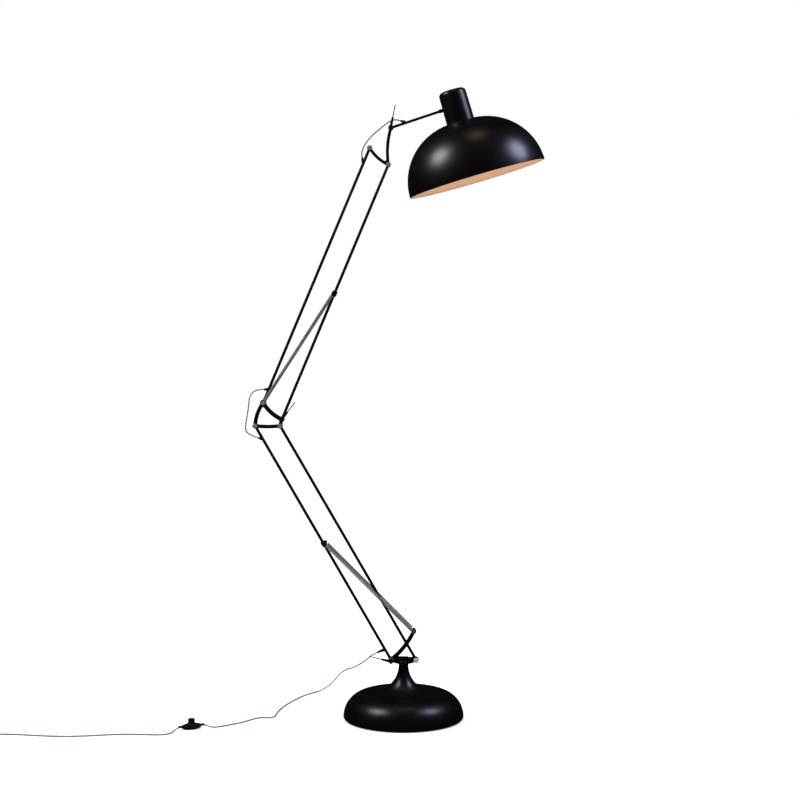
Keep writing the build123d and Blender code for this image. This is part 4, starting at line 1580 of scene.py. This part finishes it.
# ---- the sleeves at the cords' exits
@dataclass
class ExitSleeves:
    """Tapered, ribbed rubber sleeves where a cord leaves a bar.

    Attributes:
        node: the solids they stand for.
        body: the body they ride on.
        start: where the bar starts.
        lean: the bar's lean.
        exits: the exits that have one.
        lengths: the sleeves' lengths from the bar's axis, in millimetres.
    """

    node: str
    body: str
    start: Vector
    lean: float
    exits: tuple[TubeExit, ...]
    lengths: tuple[float, ...]

    def build(self) -> None:
        """Make the sleeves of one bar."""
        piece = Workpiece(f"{self.node}_ribbed", (BLACK_RUBBER,))
        for way_out, length in zip(self.exits, self.lengths):
            knee = way_out.knee(self.start, self.lean)
            piece.add(self._sleeve(length), standing_on(knee, bearing(way_out.angle)))
        made = piece.finish("black_rubber", sharp=50.0)
        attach(made, self.body)
        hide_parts(self.node)

    @staticmethod
    def _sleeve(length: float) -> Mesh:
        """One sleeve, from inside the bar to its mouth.

        Args:
            length: its length from the bar's axis, in millimetres.

        Returns:
            The sleeve, along Z.
        """
        start, wide, narrow = 3.4, 5.2, 3.1
        first, run, groove = 6.0, length - 7.0, 0.55
        ribs = max(3, round((length - 8.0) / 3.0))
        pitch = run / ribs
        lathe = Lathe(32).start(2.5, start).line(wide, start).line(wide, first)
        for number in range(ribs):
            height = first + run * number / ribs
            radius = wide + (narrow - wide) * ((number + 0.5) / ribs)
            lathe.line(radius - groove, height + 0.2 * pitch).line(radius - groove, height + 0.45 * pitch)
            lathe.line(radius, height + 0.6 * pitch).line(radius, height + 0.95 * pitch)
        return lathe.line(narrow, length - 0.4).line(2.7, length).line(2.5, length).line(2.5, start).turn()


# ---- the shade
@dataclass
class DomeShade:
    """The half-round shade: a spun dome, black outside and peach inside, with a rolled rim.

    Attributes:
        tilt: degrees that its axis leans from the vertical.
        rim: radius of the rim, in millimetres.
        crown: radius of the flat ring at the top.
        wall: thickness of the sheet.
        bead: radius of the rolled edge.
        hole: radius of the hole for the lampholder.
    """

    tilt: float = -16.3
    rim: float = 210.0
    crown: float = 32.0
    wall: float = 1.0
    bead: float = 1.3
    hole: float = 6.0

    def place(self) -> Matrix:
        """The middle of the rim's circle and the way the shade faces, from its solid's box.

        Returns:
            The matrix from its own coordinates to the frame's.
        """
        low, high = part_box("shade")
        turn = math.radians(-self.tilt)
        ring = (self.rim - self.bead) * MM
        x = high.x - ring * math.cos(turn) - self.bead * MM
        z = low.z + ring * math.sin(turn) + self.bead * MM
        return Matrix.Translation((x, 0.0, z)) @ Matrix.Rotation(math.radians(self.tilt), 4, "Y")

    def build(self) -> None:
        """Make the shade."""
        roll = self.rim - self.bead
        piece = Workpiece("dome_shade", (SATIN_BLACK, PEACH_INSIDE))
        for number, depth in enumerate((0.0, self.wall)):
            top = self.rim - self.crown - depth
            section = Lathe(160).start(self.rim - depth, 0.0).arc(self.crown, 0.0, 90.0, 40)
            dome = section.line(self.hole, top).turn()
            if number:
                bmesh.ops.reverse_faces(dome, faces=dome.faces)
            piece.add(dome, self.place(), finish=number)
        for number, edge in enumerate((-self.bead, self.bead)):
            bead = Lathe(160).start(roll, edge).arc(roll, 0.0, 180.0, 8).turn()
            piece.add(bead, self.place(), finish=number)
        made = piece.finish("black_paint", sharp=60.0)
        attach(made, "head")
        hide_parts("shade")


# ---- the whole lamp
@dataclass
class Lamp:
    """The whole lamp: the carried-over solids with their finishes, and the pieces made here."""

    springs: tuple[SpringPair, ...] = tuple(
        SpringPair(
            f"{arm}_spring", f"{arm}_spring_swing", f"{arm}_spring_stretch",
            (f"{arm}_springs", f"{arm}_spring_tops"), (f"{arm}_springs", f"{arm}_spring_hooks"), radius,
        )
        for arm, radius in (("lower", 5.5), ("upper", 5.0))
    )
    levers: tuple[LockingLever, ...] = (
        LockingLever("yoke_lever", "yoke_lever_turn", 166.5),
        LockingLever("elbow_lever", "elbow_lever_turn", 52.1),
        LockingLever("head_lever", "head_lever_turn", 78.6),
    )

    def dress_nodes(self) -> None:
        """Give every carried-over solid its finish."""
        for row in frame["record"]["subparts"]:
            node = frame["nodes"][row["node"]]
            finish = NODE_FINISH.get(row["node"], SLOT_FINISH[row["material_slot"]])
            if not node.material_slots:
                node.data.materials.append(None)
            for slot in node.material_slots:
                slot.material = finish.make()

    def sleeves(self) -> list[ExitSleeves]:
        """The rubber sleeves of the three bars that carry the flex.

        Returns:
            The sleeves, bar by bar.
        """
        yoke, elbow, head = joint_place("lower_arm"), joint_place("upper_arm"), joint_place("head_tilt")
        return [
            ExitSleeves(
                "lower_rear_grommets", "lower_rear_bar", yoke, LOWER_LEAN,
                (LEAD_EXIT, ELBOW_LOW_EXIT), (26.0, 14.0),
            ),
            ExitSleeves(
                "upper_rear_grommets", "upper_rear_bar", elbow, UPPER_LEAN,
                (ELBOW_HIGH_EXIT, HEAD_LOW_EXIT), (14.0, 18.0),
            ),
            ExitSleeves("rod_grommet", "head", head, ROD_LEAN, (ROD_EXIT,), (18.0,)),
        ]

    def build(self) -> None:
        """Build and dress everything, the cords first."""
        cords = Cords()
        cords.build()
        cords.build_floor(FootSwitch().build(), MainsPlug().build())
        self.dress_nodes()
        DomeShade().build()
        for pair in self.springs:
            pair.build()
        ReturnSpring().build()
        for lever in self.levers:
            lever.build()
        for sleeve in self.sleeves():
            sleeve.build()


def main() -> None:
    """Build the view, the lamp and the studio."""
    logging.basicConfig(level=logging.INFO, format="%(name)s %(message)s")
    ViewCamera().build()
    Lamp().build()
    Studio().build()


if __name__ == "__main__":
    main()
